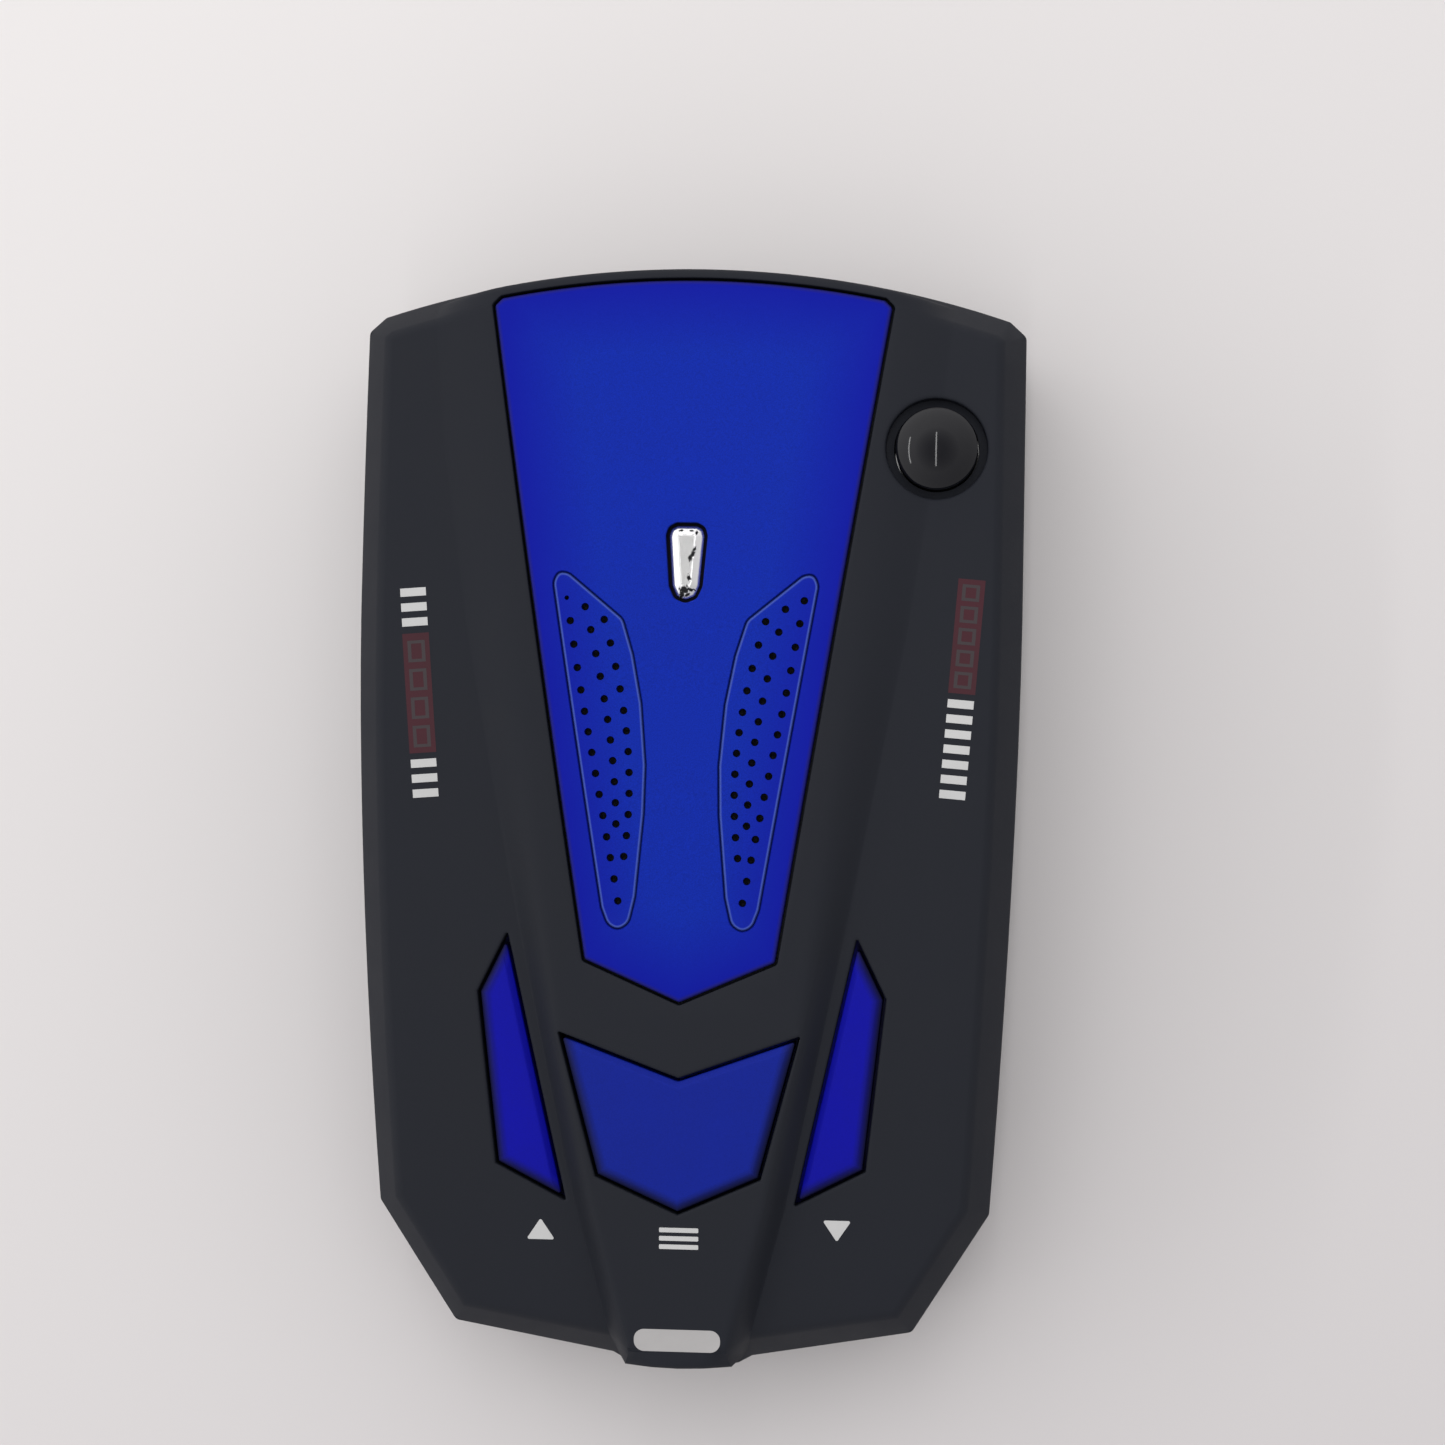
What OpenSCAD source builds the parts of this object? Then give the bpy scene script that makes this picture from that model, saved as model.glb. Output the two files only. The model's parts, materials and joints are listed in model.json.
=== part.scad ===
// Compact dash-top radar detector.
// +Z is up, +Y points to the windshield end, +X is to the right as the driver sees it.
// The origin is the middle of the footprint, on the plane that the feet stand on.

/* [Body] */
// Length of the body, windshield end to driver end
body_len = 108; // [106:0.5:112]
// Greatest width of the body
body_w = 64.6; // [64:0.2:68]
// Height of the hood's crest above the feet's plane
crest_z = 30; // [29.5:0.1:32]
// Height of the side decks' crest
deck_crest_z = 28.4; // [28:0.1:29]
// Height of the joint between the two covers
split_z = 10; // [9.8:0.1:10.2]
// Thickness of the covers' walls
wall = 2.2; // [1.8:0.1:2.4]
// Radius of the windshield end, seen from above
nose_r = 95; // [85:1:120]
// Radius of the long curve of the top, seen from the side
top_r = 300; // [280:5:360]

/* [Panel and keys] */
// Thickness of the blue panel
panel_t = 1.2; // [1.0:0.1:1.4]
// Gap between the panel and its recess
panel_gap = 0.25; // [0.2:0.05:0.4]
// Gap between a key and its opening
key_gap = 0.3; // [0.25:0.05:0.45]
// How far a key stands above the cover
key_proud = 0.3; // [0:0.1:0.5]
// Travel of a key
key_travel = 0.5; // [0.3:0.1:0.6]
// Diameter of a sound hole
hole_d = 0.75; // [0.6:0.05:0.9]
// Distance between sound holes along a column
hole_pitch = 2.1; // [1.9:0.05:2.3]

/* [Controls and sensors] */
// Radius of the volume wheel
wheel_r = 8; // [7.5:0.1:8.2]
// How far the volume wheel stands out of the side
wheel_proud = 0.45; // [0.3:0.05:0.6]
// Radius of the top laser dome
dome_r = 3.95; // [3.6:0.05:4.2]
// Height of the dome's crown
dome_top_z = 29.8; // [29:0.1:30]

/* [Underside] */
// Thickness of a foot pad
foot_h = 1.2; // [1:0.1:1.5]
// Diameter of a foot pad
foot_d = 9; // [7:0.5:10]

/* [Hidden] */
$fn = 48;
arc_fn = 360;
tiny = 0.01;

half_len = body_len / 2;
half_w = body_w / 2;

// The top curves: each is an arc across the body, given by its crest
hood_crest_y = 8;
deck_crest_y = 14;
bevel_w = 2.4;
bevel_h = 3.6;
hood_side_wall = 1.9;
hood_wall = 2.8;
recess_depth = 1.6;
dome_recess_w = 0.9;
dome_recess_depth = 1.3;
floor_z = foot_h + 2;

// Height of the deck's and the hood's surface at a place along the body
function deck_z(y) = deck_crest_z - pow(y - deck_crest_y, 2) / (2 * top_r);
function hood_z(y) = crest_z - pow(y - hood_crest_y, 2) / (2 * top_r);

// ---- outlines, as points seen from above ----

// A closed outline from the points of its right half, windshield end first
function both_sides(right) = concat(
    right,
    [for (i = [len(right) - 1:-1:0]) if (right[i][0] > tiny) [-right[i][0], right[i][1]]]);

function unit(v) = v / norm(v);
// The inward normal of an outline's edge; outlines run clockwise
function inward(p, q) = let (t = unit(q - p)) [t[1], -t[0]];
// An outline moved inwards by d, with mitred corners
function inset(pts, d) = let (n = len(pts)) [
    for (i = [0:n - 1])
        let (a = inward(pts[(i + n - 1) % n], pts[i]), b = inward(pts[i], pts[(i + 1) % n]))
            pts[i] + d * (a + b) / (1 + a * b)];

// The right half of the windshield end's arc, out to a half-width, at a distance inside it
function nose_arc(to_x, d = 0, steps = 8) = [
    for (i = [0:steps]) let (x = to_x * i / steps)
        [x, half_len - nose_r + sqrt(pow(nose_r - d, 2) - x * x)]];

corner_x = half_w - 1.6;
corner_y = half_len - 6.6;
taper_y = 20;
tail_y = -38.1;
tail_narrowing = 2.3;
// Half-width of the body along its tapering sides
function side_x(y) = half_w - tail_narrowing * pow((taper_y - y) / (taper_y - tail_y), 1.6);

body_outline = both_sides(concat(
    nose_arc(corner_x),
    [[half_w, corner_y]],
    [for (i = [0:6]) let (y = taper_y + (tail_y - taper_y) * i / 6) [side_x(y), y]],
    [[22.6, 3.9 - half_len], [6.9, 1.1 - half_len], [5.5, 0.3 - half_len], [0, -half_len]]));

hood_outline = both_sides(concat(
    nose_arc(25.4, 0.6),
    [[24, 36], [21.2, 17.6], [16.2, -8.7], [10.3, -37.5],
     [6.4, 1.5 - half_len], [5.2, 0.7 - half_len], [0, 0.5 - half_len]]));

panel_outline = both_sides(concat(
    nose_arc(18.6, 1.8),
    [[19.3, 49.6], [9.15, -13.6], [0, -17.6]]));

menu_outline = both_sides([[0, -24.9], [11.7, -20.6], [8.0, -34.6], [0, -38.2]]);
down_outline = [[16.9, -11.1], [19.8, -17.0], [18.0, -33.8], [11.1, -37.4]];

// The right-hand field of sound holes, and its mirror image is the left-hand one
field_outline = [[5.95, 19.1], [11.3, 23.5], [12.3, 23.6], [12.8, 22.6], [7.6, -8.6], [7, -10.2],
    [6, -10.75], [4.9, -10.1], [4.3, -7.5], [3.6, 0.4], [3.5, 5.1], [4, 11], [4.9, 15.7]];
// The opening under it, which lets the speaker's sound out
port_outline = [[7, 15], [9, 15], [9.6, 14], [6.8, -6.2], [5.3, -6.2], [4.7, 5]];

// ---- shared solids ----

// A tall column over an outline, inset by d
module column(outline, d = 0, low = -5, high = 45) {
    translate([0, 0, low])
        linear_extrude(height = high - low)
            polygon(inset(outline, d));
}

// All that lies under an arc across the body, lowered by d
module under_arc(crest_y, crest_height, d = 0) {
    translate([-60, crest_y, crest_height - top_r])
        rotate([0, 90, 0])
            cylinder(h = 120, r = top_r - d, $fn = arc_fn);
}
module under_deck(d = 0) { under_arc(deck_crest_y, deck_crest_z, d); }
module under_hood(d = 0) { under_arc(hood_crest_y, crest_z, d); }

// A plain box by its lowest and highest corner
module block(low, high) {
    translate(low)
        cube(high - low);
}

// A ring standing on z
module tube(outer_r, inner_r, low, high) {
    translate([0, 0, low])
        difference() {
            cylinder(h = high - low, r = outer_r);
            translate([0, 0, -1])
                cylinder(h = high - low + 2, r = inner_r);
        }
}

module rod(r, low, high) {
    translate([0, 0, low])
        cylinder(h = high - low, r = r);
}

// One copy at each place
module at(places) {
    for (p = places)
        translate([p[0], p[1], 0])
            children();
}

// ---- places ----

case_screws_at = [[26.5, 44.5], [-26.5, 44.5], [20.5, -43], [-20.5, -43]];
board_screws_at = [[23, 24], [-24, 18], [23, -32], [-23, -32]];
key_posts_at = [[7, -15.6], [-7, -15.6], [0, -41.3]];
feet_at = [[23, 31], [-23, 31], [20, -31], [-20, -31]];
dome_at = [23.8, 36];
speaker_at = [0, 5];
wheel_y = -16;
wheel_x = -(side_x(wheel_y) + wheel_proud - wheel_r);
jack_y = -16;
jack_z = 13.4;
lens_x = 13;
beam_z = 15.5;

board_z = 6;
board_t = 1.6;
board_top = board_z + board_t;
key_board_z = 16.4;
key_board_t = 1.2;
key_board_top = key_board_z + key_board_t;
switch_h = 3.5;
switch_top = key_board_top + switch_h;
plunger_top = switch_top + key_travel + 0.3;
menu_stem_at = [0, -30.5];
down_stem_at = [16.4, -25.5];
dome_seat_z = 24.6;
post_r = 2.8;
pilot_r = 1.05;
screw_r = 1.0;

window_low = 11;
window_gap = 0.1;
front_window_half_w = 21;
front_window_high = 20.5;
display_window_half_w = 13.5;
display_window_high = 16.2;
wheel_slot_half = 6.6;
wheel_slot_gap = 0.4;
jack_hole_r = 3.1;

// ---- casing ----

// The deck's convex block, with its bevel all round
module deck_block() {
    hull() {
        intersection() {
            column(body_outline, 0, split_z);
            under_deck(bevel_h);
        }
        intersection() {
            column(body_outline, bevel_w, split_z);
            under_deck();
        }
    }
}

module top_cavity() {
    intersection() {
        column(body_outline, wall, split_z - 1);
        under_deck(wall);
    }
    intersection() {
        column(hood_outline, hood_side_wall, split_z - 1);
        under_hood(hood_wall);
    }
}

// What the cover's posts and seats may fill: the inside, up into the wall
module inside_top() {
    intersection() {
        column(body_outline, wall / 2, split_z);
        union() {
            under_deck(wall / 2);
            intersection() {
                column(hood_outline, hood_side_wall / 2, split_z);
                under_hood(hood_wall - 0.4);
            }
        }
        children();
    }
}

module top_posts() {
    inside_top() {
        union() {
            at(case_screws_at)
                rod(post_r, split_z, crest_z);
            at(key_posts_at)
                rod(1.9, key_board_top, crest_z);
            at([dome_at])
                rod(6.4, dome_seat_z, crest_z);
            at([speaker_at])
                tube(15.4, 14.3, 24.5, crest_z);
        }
    }
}

// Openings through the top cover
module top_openings() {
    difference() {
        column(panel_outline, -panel_gap, 20);
        under_hood(recess_depth);
    }
    for (side = [0, 1])
        mirror([side, 0, 0]) {
            column(port_outline, 0, 20);
            column(down_outline, 0, 18);
        }
    column(menu_outline, 0, 18);
    at([dome_at]) {
        rod(dome_r + 0.15, 20, 40);
        rod(dome_r + dome_recess_w, deck_z(dome_at[1]) - dome_recess_depth, 40);
    }
    at(case_screws_at)
        rod(pilot_r, split_z - 1, 17.5);
    at(key_posts_at)
        rod(0.75, key_board_top - 1, key_board_top + 4);
    window_box(front_window_half_w, 45, 60, front_window_high, window_gap);
    window_box(display_window_half_w, -60, -47, display_window_high, window_gap);
    block([-40, wheel_y - wheel_slot_half, wheel_low - wheel_slot_gap],
          [-25, wheel_y + wheel_slot_half, wheel_high + wheel_slot_gap]);
    translate([25, jack_y, jack_z])
        rotate([0, 90, 0])
            cylinder(h = 12, r = jack_hole_r);
}

module top_cover() {
    color([0.165, 0.17, 0.185])
        difference() {
            union() {
                difference() {
                    union() {
                        deck_block();
                        intersection() {
                            column(hood_outline, 0, split_z);
                            under_hood();
                        }
                    }
                    top_cavity();
                }
                top_posts();
            }
            top_openings();
        }
}

boss_r = 3.2;
screw_seat_z = 5;

module bottom_cover() {
    color([0.15, 0.155, 0.17])
        difference() {
            union() {
                difference() {
                    hull() {
                        column(body_outline, 1.8, foot_h, foot_h + tiny);
                        column(body_outline, 0, foot_h + 3.4, split_z);
                    }
                    column(body_outline, wall, floor_z, split_z + 1);
                }
                at(case_screws_at)
                    rod(boss_r, foot_h + 1, split_z);
                at(board_screws_at)
                    rod(2.4, foot_h + 1, board_z);
            }
            at(case_screws_at) {
                rod(2.3, foot_h - 1, screw_seat_z);
                rod(1.3, foot_h, split_z + 1);
            }
            at(board_screws_at)
                rod(0.85, floor_z, board_z + 1);
        }
}

module case_screws() {
    color("silver")
        at(case_screws_at)
            difference() {
                union() {
                    rod(2.0, screw_seat_z - 1.4, screw_seat_z);
                    rod(screw_r, screw_seat_z - tiny, 16.5);
                }
                block([-1.3, -0.25, screw_seat_z - 2], [1.3, 0.25, screw_seat_z - 0.8]);
                block([-0.25, -1.3, screw_seat_z - 2], [0.25, 1.3, screw_seat_z - 0.8]);
            }
}

module foot_pads() {
    color([0.08, 0.08, 0.09])
        at(feet_at)
            rod(foot_d / 2, 0, foot_h);
}

module rating_label() {
    color([0.75, 0.76, 0.78])
        block([-19, -14, foot_h - 0.1], [19, 12, foot_h]);
}

// ---- panel, badge and keys ----

// The sound holes of the right-hand field: an outer, a middle and an inner column, staggered.
// Each has its first hole's y, its count, its least x, its lean and its bend with the hole it bends about
hole_columns = [
    [21.45, 15, 11.43, -0.389, 0, 0],
    [20.65, 11, 6.25, 0, 0.0285, 10.9],
    [19.5, 12, 5.05, 0, 0.0435, 7.9]];
function hole_x(c, k) = c[2] + c[3] * k + c[4] * pow(k - c[5], 2);
// How far the holes sit nearer to the driver than an even spacing puts them, by y
hole_shift = [[-5, 0], [-2, 0.17], [2, 0.31], [6, 0.48], [9, 0.65], [12, 0.86], [16, 0.77], [18.5, 0.53],
    [21.5, 0.38]];
function hole_y(c, k) = let (y = c[0] - hole_pitch * k) y - lookup(y, hole_shift);

module sound_holes() {
    for (c = hole_columns, k = [0:c[1] - 1])
        translate([hole_x(c, k), hole_y(c, k), 20])
            cylinder(h = 20, d = hole_d, $fn = 16);
}

badge_outline = both_sides([[0, 28.15], [0.95, 28.15], [1.5, 27.85], [1.68, 27.2], [1.3, 22.4], [0.85, 21.4],
    [0, 21.05]]);
badge_gap = 0.32;
badge_recess = 0.8;
badge_drop = 0.1;

module centre_panel() {
    color([0.09, 0.13, 0.62])
        difference() {
            intersection() {
                column(panel_outline, 0, 20);
                under_hood();
            }
            under_hood(panel_t);
            for (side = [0, 1])
                mirror([side, 0, 0])
                    sound_holes();
            difference() {
                column(badge_outline, -badge_gap, 20);
                under_hood(badge_recess);
            }
        }
}

module badge() {
    color([0.85, 0.86, 0.88])
        difference() {
            intersection() {
                column(badge_outline, 0, 20);
                under_hood(badge_drop);
            }
            under_hood(badge_recess);
        }
}

module grille_cloth() {
    color([0.03, 0.03, 0.04])
        for (side = [0, 1])
            mirror([side, 0, 0])
                difference() {
                    intersection() {
                        column(field_outline, -0.5, 20);
                        under_hood(panel_t);
                    }
                    under_hood(panel_t + 0.3);
                }
}

// A flange under the cover keeps a key from coming out
flange_w = 0.6;
flange_t = 0.9;
flange_gap = 0.4;

module down_key() {
    color([0.1, 0.08, 0.6]) {
        difference() {
            intersection() {
                column(down_outline, key_gap, 18);
                under_deck(-key_proud);
            }
            under_deck(wall + flange_gap + flange_t);
        }
        difference() {
            intersection() {
                column(down_outline, -flange_w, 18);
                under_deck(wall + flange_gap);
            }
            under_deck(wall + flange_gap + flange_t);
        }
        at([down_stem_at])
            rod(1.8, plunger_top, deck_z(down_stem_at[1]) - 2);
    }
}

module up_key() {
    mirror([1, 0, 0])
        down_key();
}

module menu_key() {
    color([0.1, 0.08, 0.6]) {
        difference() {
            intersection() {
                column(menu_outline, key_gap, 18);
                under_hood(-key_proud);
            }
            under_hood(hood_wall + flange_gap + flange_t);
        }
        difference() {
            intersection() {
                column(menu_outline, -flange_w, 18);
                column(hood_outline, hood_side_wall + flange_gap, 18);
                under_hood(hood_wall + flange_gap);
            }
            under_hood(hood_wall + flange_gap + flange_t);
        }
        at([menu_stem_at])
            rod(1.8, plunger_top, hood_z(menu_stem_at[1]) - 3);
    }
}

// A key's plunger, which rides in its switch
module plunger(place) {
    color([0.2, 0.2, 0.22])
        at([place])
            rod(1.75, switch_top - 0.8, plunger_top);
}
module up_plunger() { plunger([-down_stem_at[0], down_stem_at[1]]); }
module menu_plunger() { plunger(menu_stem_at); }
module down_plunger() { plunger(down_stem_at); }

switches_at = [menu_stem_at, down_stem_at, [-down_stem_at[0], down_stem_at[1]]];

module key_switches() {
    color([0.55, 0.56, 0.58])
        at(switches_at)
            difference() {
                block([-3, -3, key_board_top], [3, 3, switch_top]);
                rod(1.85, switch_top - 1.5, switch_top + 1);
            }
}

module key_board() {
    color([0.05, 0.3, 0.16])
        difference() {
            translate([0, 0, key_board_z])
                linear_extrude(height = key_board_t)
                    polygon(both_sides([[0, -12.6], [19.6, -12.6], [19.6, -35], [12, -43.4], [0, -43.4]]));
            at(key_posts_at)
                rod(0.95, key_board_z - 1, key_board_top + 1);
        }
}

module key_board_screws() {
    color("silver")
        at(key_posts_at) {
            rod(1.5, key_board_z - 0.9, key_board_z);
            rod(0.7, key_board_z - tiny, key_board_top + 3.6);
        }
}

// The flat ribbon between the key board and the main board
module key_ribbon() {
    color([0.8, 0.76, 0.6])
        block([-4, -14.6, board_top], [4, -14.3, key_board_z]);
}

// ---- laser dome and its sensor ----

dome_flange_r = 5.4;
dome_flange_t = 0.8;
seal_t = 0.5;
dome_base_z = dome_seat_z - seal_t - dome_flange_t;
dome_wall = 1.1;
dome_crown = 1.55;
dome_ball_r = (pow(dome_r, 2) + pow(dome_crown, 2)) / (2 * dome_crown);

// What lies under the dome's outside, or its inside at its wall's thickness
module dome_solid(d, low) {
    intersection() {
        translate([0, 0, dome_top_z - dome_ball_r])
            sphere(r = dome_ball_r - d, $fn = 96);
        rod(dome_r - d, low, 40);
    }
}

module laser_dome() {
    color([0.03, 0.03, 0.035])
        at([dome_at])
            difference() {
                union() {
                    dome_solid(0, dome_base_z);
                    rod(dome_flange_r, dome_base_z, dome_base_z + dome_flange_t);
                }
                dome_solid(dome_wall, dome_base_z - 1);
            }
}

module dome_seal() {
    color([0.1, 0.1, 0.1])
        at([dome_at])
            tube(5.3, dome_r + 0.1, dome_seat_z - seal_t, dome_seat_z);
}

sensor_post_z = 19;
module sensor_post() {
    color([0.2, 0.2, 0.22])
        translate([dome_at[0], dome_at[1], 0])
            block([-2.6, -2.4, board_top], [2.6, 1.9, sensor_post_z]);
}

module top_laser_sensor() {
    color([0.15, 0.1, 0.12])
        at([[dome_at[0], dome_at[1] - 0.2]]) {
            rod(2.1, sensor_post_z, sensor_post_z + 2.2);
            translate([0, 0, sensor_post_z + 2.2])
                intersection() {
                    sphere(r = 1.9);
                    rod(3, -tiny, 4);
                }
        }
}

// ---- windows and front optics ----

// The box that a window fills, wider all round by gap
module window_box(half_w, from_y, to_y, high, gap = 0) {
    block([-half_w - gap, from_y, window_low - gap], [half_w + gap, to_y, high + gap]);
}

// A window that follows the body's wall, cut to its box
module wall_window() {
    intersection() {
        difference() {
            column(body_outline, 0.35, 0);
            column(body_outline, 1.9, -1);
        }
        children();
    }
}

module front_window() {
    color([0.16, 0.02, 0.03])
        wall_window()
            window_box(front_window_half_w, 46, 60, front_window_high);
}

module display_window() {
    color([0.05, 0.03, 0.04])
        wall_window()
            window_box(display_window_half_w, -60, -48, display_window_high);
}

holder_back_y = 32;
holder_front_y = 45.5;
module beam(r, from_y, to_y) {
    translate([lens_x, to_y, beam_z])
        rotate([90, 0, 0])
            cylinder(h = to_y - from_y, r = r);
}

module lens_holder() {
    color([0.12, 0.12, 0.13])
        difference() {
            union() {
                beam(6.2, holder_back_y, holder_front_y);
                block([lens_x - 5, holder_back_y, board_top], [lens_x + 5, holder_front_y - 4, beam_z - 3]);
            }
            beam(5.1, holder_back_y + 2, holder_front_y + 1);
            beam(2.6, holder_back_y - 1, holder_back_y + 3);
        }
}

module laser_lens() {
    color([0.75, 0.3, 0.32])
        intersection() {
            beam(5.0, holder_front_y - 3.4, holder_front_y + 0.6);
            translate([lens_x, holder_front_y + 0.4 - 9, beam_z])
                sphere(r = 9, $fn = 96);
        }
}

module laser_diode() {
    color([0.7, 0.68, 0.5]) {
        beam(2.5, holder_back_y - 1.5, holder_back_y + 1.6);
        beam(3.0, holder_back_y - 2.5, holder_back_y);
    }
}

// ---- radar receiver ----

horn_x = -8;
horn_back_y = 26;
horn_mouth_y = 48;
horn_wall = 1;

// The horn's flare, thicker by t than its inside, and longer by over at each end
module flare(t, over) {
    hull() {
        block([horn_x - 6 - t, horn_back_y - over, beam_z - 3 - t],
              [horn_x + 6 + t, horn_back_y + tiny, beam_z + 3 + t]);
        block([horn_x - 11.5 - t, horn_mouth_y - tiny, beam_z - 6.5 - t],
              [horn_x + 11.5 + t, horn_mouth_y + over, beam_z + 6.5 + t]);
    }
}

module horn_antenna() {
    color([0.72, 0.73, 0.75])
        difference() {
            union() {
                flare(horn_wall, 0);
                block([horn_x - 10, horn_back_y - 1.2, board_top], [horn_x + 10, horn_back_y, beam_z + 6.4]);
            }
            flare(0, 2);
            horn_screw_rods(0.85);
        }
}

module horn_screw_rods(r, from_y = 22, to_y = 28) {
    for (side = [-1, 1])
        translate([horn_x + side * 8.4, to_y, beam_z])
            rotate([90, 0, 0])
                cylinder(h = to_y - from_y, r = r);
}

rf_board_t = 1.0;
rf_board_y = horn_back_y - 1.2 - rf_board_t;
module rf_board() {
    color([0.75, 0.72, 0.55])
        difference() {
            block([horn_x - 11, rf_board_y, board_top], [horn_x + 11, rf_board_y + rf_board_t, beam_z + 7]);
            horn_screw_rods(0.85);
        }
}

module antenna_screws() {
    color("silver") {
        horn_screw_rods(0.8, rf_board_y - tiny, horn_back_y);
        horn_screw_rods(1.4, rf_board_y - 0.9, rf_board_y);
    }
}

module rf_shield() {
    color([0.8, 0.8, 0.78])
        difference() {
            block([horn_x - 6.5, rf_board_y - 3.2, 9.5], [horn_x + 6.5, rf_board_y, 21.5]);
            block([horn_x - 6.2, rf_board_y - 2.9, 9.8], [horn_x + 6.2, rf_board_y + 1, 21.2]);
        }
}

// ---- main board and what it carries ----

module main_board() {
    color([0.04, 0.33, 0.18])
        difference() {
            translate([0, 0, board_z])
                linear_extrude(height = board_t)
                    polygon(both_sides([[0, 38.5], [27, 38.5], [27, -38], [14, -38], [14, -49], [0, -49]]));
            at(board_screws_at)
                rod(1.05, board_z - 1, board_top + 1);
        }
}

module board_screws() {
    color("silver")
        at(board_screws_at) {
            rod(1.7, board_top, board_top + 1);
            rod(0.8, board_z - 2.4, board_top + tiny);
        }
}

module main_chip() {
    color([0.07, 0.07, 0.08])
        block([-6, -9, board_top], [6, 3, board_top + 1.5]);
}

module voice_chip() {
    color([0.07, 0.07, 0.08])
        block([10, 2, board_top], [18, 8, board_top + 1.6]);
}

module capacitors() {
    color([0.1, 0.12, 0.3])
        at([[16, -4], [24, -4], [-16, 6]])
            rod(3.1, board_top, board_top + 7.5);
}

// The speaker's two leads rise from their plug to the rim of its frame
leads_at = [[1.2, 13.97], [-1.2, 13.97]];
lead_r = 0.35;
plug_floor = board_top + 3;

module speaker_plug() {
    color([0.9, 0.88, 0.8])
        difference() {
            block([-3, 12.4, board_top], [3, 16, board_top + 5]);
            block([-2, 13.2, plug_floor], [2, 14.8, board_top + 6]);
        }
}

module speaker_leads() {
    color([0.7, 0.1, 0.1])
        at(leads_at)
            rod(lead_r, plug_floor, magnet_top);
}

module led_display() {
    color([0.12, 0.12, 0.13])
        block([-12, -48.6, board_top], [12, -44.6, display_window_high + 0.3]);
}

module display_digits() {
    color([0.75, 0.2, 0.18])
        block([-11, -48.9, window_low + 0.5], [11, -48.6, display_window_high - 0.4]);
}

// ---- speaker ----

speaker_top = 26.5;
magnet_top = speaker_top - 7;

module speaker_frame() {
    color([0.35, 0.36, 0.38])
        at([speaker_at])
            rotate_extrude($fn = 96)
                polygon([[12.9, speaker_top], [14.1, speaker_top], [14.1, speaker_top - 1.2],
                         [9.4, magnet_top + 0.8], [9.4, magnet_top], [7.6, magnet_top],
                         [7.6, magnet_top + 1.2], [12.9, speaker_top - 1.4]]);
}

module speaker_magnet() {
    color([0.25, 0.25, 0.27])
        at([speaker_at])
            difference() {
                rod(8.6, magnet_top - 4.2, magnet_top);
                tube(6.7, 5.5, magnet_top - 3.2, magnet_top + 1);
            }
}

module speaker_cone() {
    color([0.1, 0.1, 0.1])
        at([speaker_at])
            rotate_extrude($fn = 96)
                polygon([[0, magnet_top + 3.2], [3.5, magnet_top + 2.7], [6.2, magnet_top + 1.9],
                         [12.4, speaker_top - 0.8], [12.4, speaker_top - 1.2], [6.3, magnet_top + 1.4],
                         [6.3, magnet_top - 2.4], [5.9, magnet_top - 2.4], [5.9, magnet_top + 1.4],
                         [3.4, magnet_top + 2.3], [0, magnet_top + 2.8]]);
}

// ---- volume wheel ----

wheel_low = 13;
wheel_high = 15.4;
spindle_r = 1.5;
ridges = 40;

module volume_wheel() {
    color([0.1, 0.1, 0.11])
        translate([wheel_x, wheel_y, wheel_low])
            difference() {
                linear_extrude(height = wheel_high - wheel_low)
                    polygon([for (i = [0:2 * ridges - 1])
                        let (r = wheel_r - 0.3 * (i % 2), a = 180 * i / ridges) [r * cos(a), r * sin(a)]]);
                translate([0, 0, -1])
                    cylinder(h = 5, r = spindle_r);
            }
}

module wheel_spindle() {
    color([0.8, 0.8, 0.8])
        translate([wheel_x, wheel_y, 0])
            rod(spindle_r, board_top + 1.2, wheel_high);
}

module volume_pot() {
    color([0.3, 0.31, 0.33])
        translate([wheel_x, wheel_y, 0])
            difference() {
                block([-3.3, -4.5, board_top], [4.5, 4.5, wheel_low - 0.4]);
                rod(spindle_r + 0.05, board_top + 1, wheel_low);
            }
}

// ---- power inlet ----

jack_front_x = side_x(jack_y) - wall - 0.15;
jack_depth = 7.2;

module power_jack() {
    color([0.08, 0.08, 0.09])
        difference() {
            block([jack_front_x - 9.2, jack_y - 4.5, board_top], [jack_front_x, jack_y + 4.5, jack_z + 3.6]);
            translate([jack_front_x - jack_depth, jack_y, jack_z])
                rotate([0, 90, 0])
                    cylinder(h = jack_depth + 1, r = 1.9);
        }
}

module jack_pin() {
    color([0.85, 0.8, 0.6])
        translate([jack_front_x - jack_depth, jack_y, jack_z])
            rotate([0, 90, 0])
                cylinder(h = jack_depth - 0.6, r = 0.6);
}

top_cover();
bottom_cover();
case_screws();
foot_pads();
rating_label();
centre_panel();
badge();
grille_cloth();
up_key();
menu_key();
down_key();
up_plunger();
menu_plunger();
down_plunger();
key_switches();
key_board();
key_board_screws();
key_ribbon();
laser_dome();
dome_seal();
sensor_post();
top_laser_sensor();
front_window();
display_window();
lens_holder();
laser_lens();
laser_diode();
horn_antenna();
rf_board();
antenna_screws();
rf_shield();
main_board();
board_screws();
main_chip();
voice_chip();
capacitors();
speaker_plug();
speaker_leads();
led_display();
display_digits();
speaker_frame();
speaker_magnet();
speaker_cone();
volume_wheel();
wheel_spindle();
volume_pot();
power_jack();
jack_pin();
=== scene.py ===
"""A compact dash-top radar detector, seen from above on a pale table.

Lengths in this file are millimetres in the CAD frame (+Z up, +Y the windshield end), and meshes are
written in metres. The outlines and curves repeat the CAD's own driving sizes.
"""
import json
import math

import bpy
import numpy as np
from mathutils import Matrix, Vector, geometry


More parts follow.
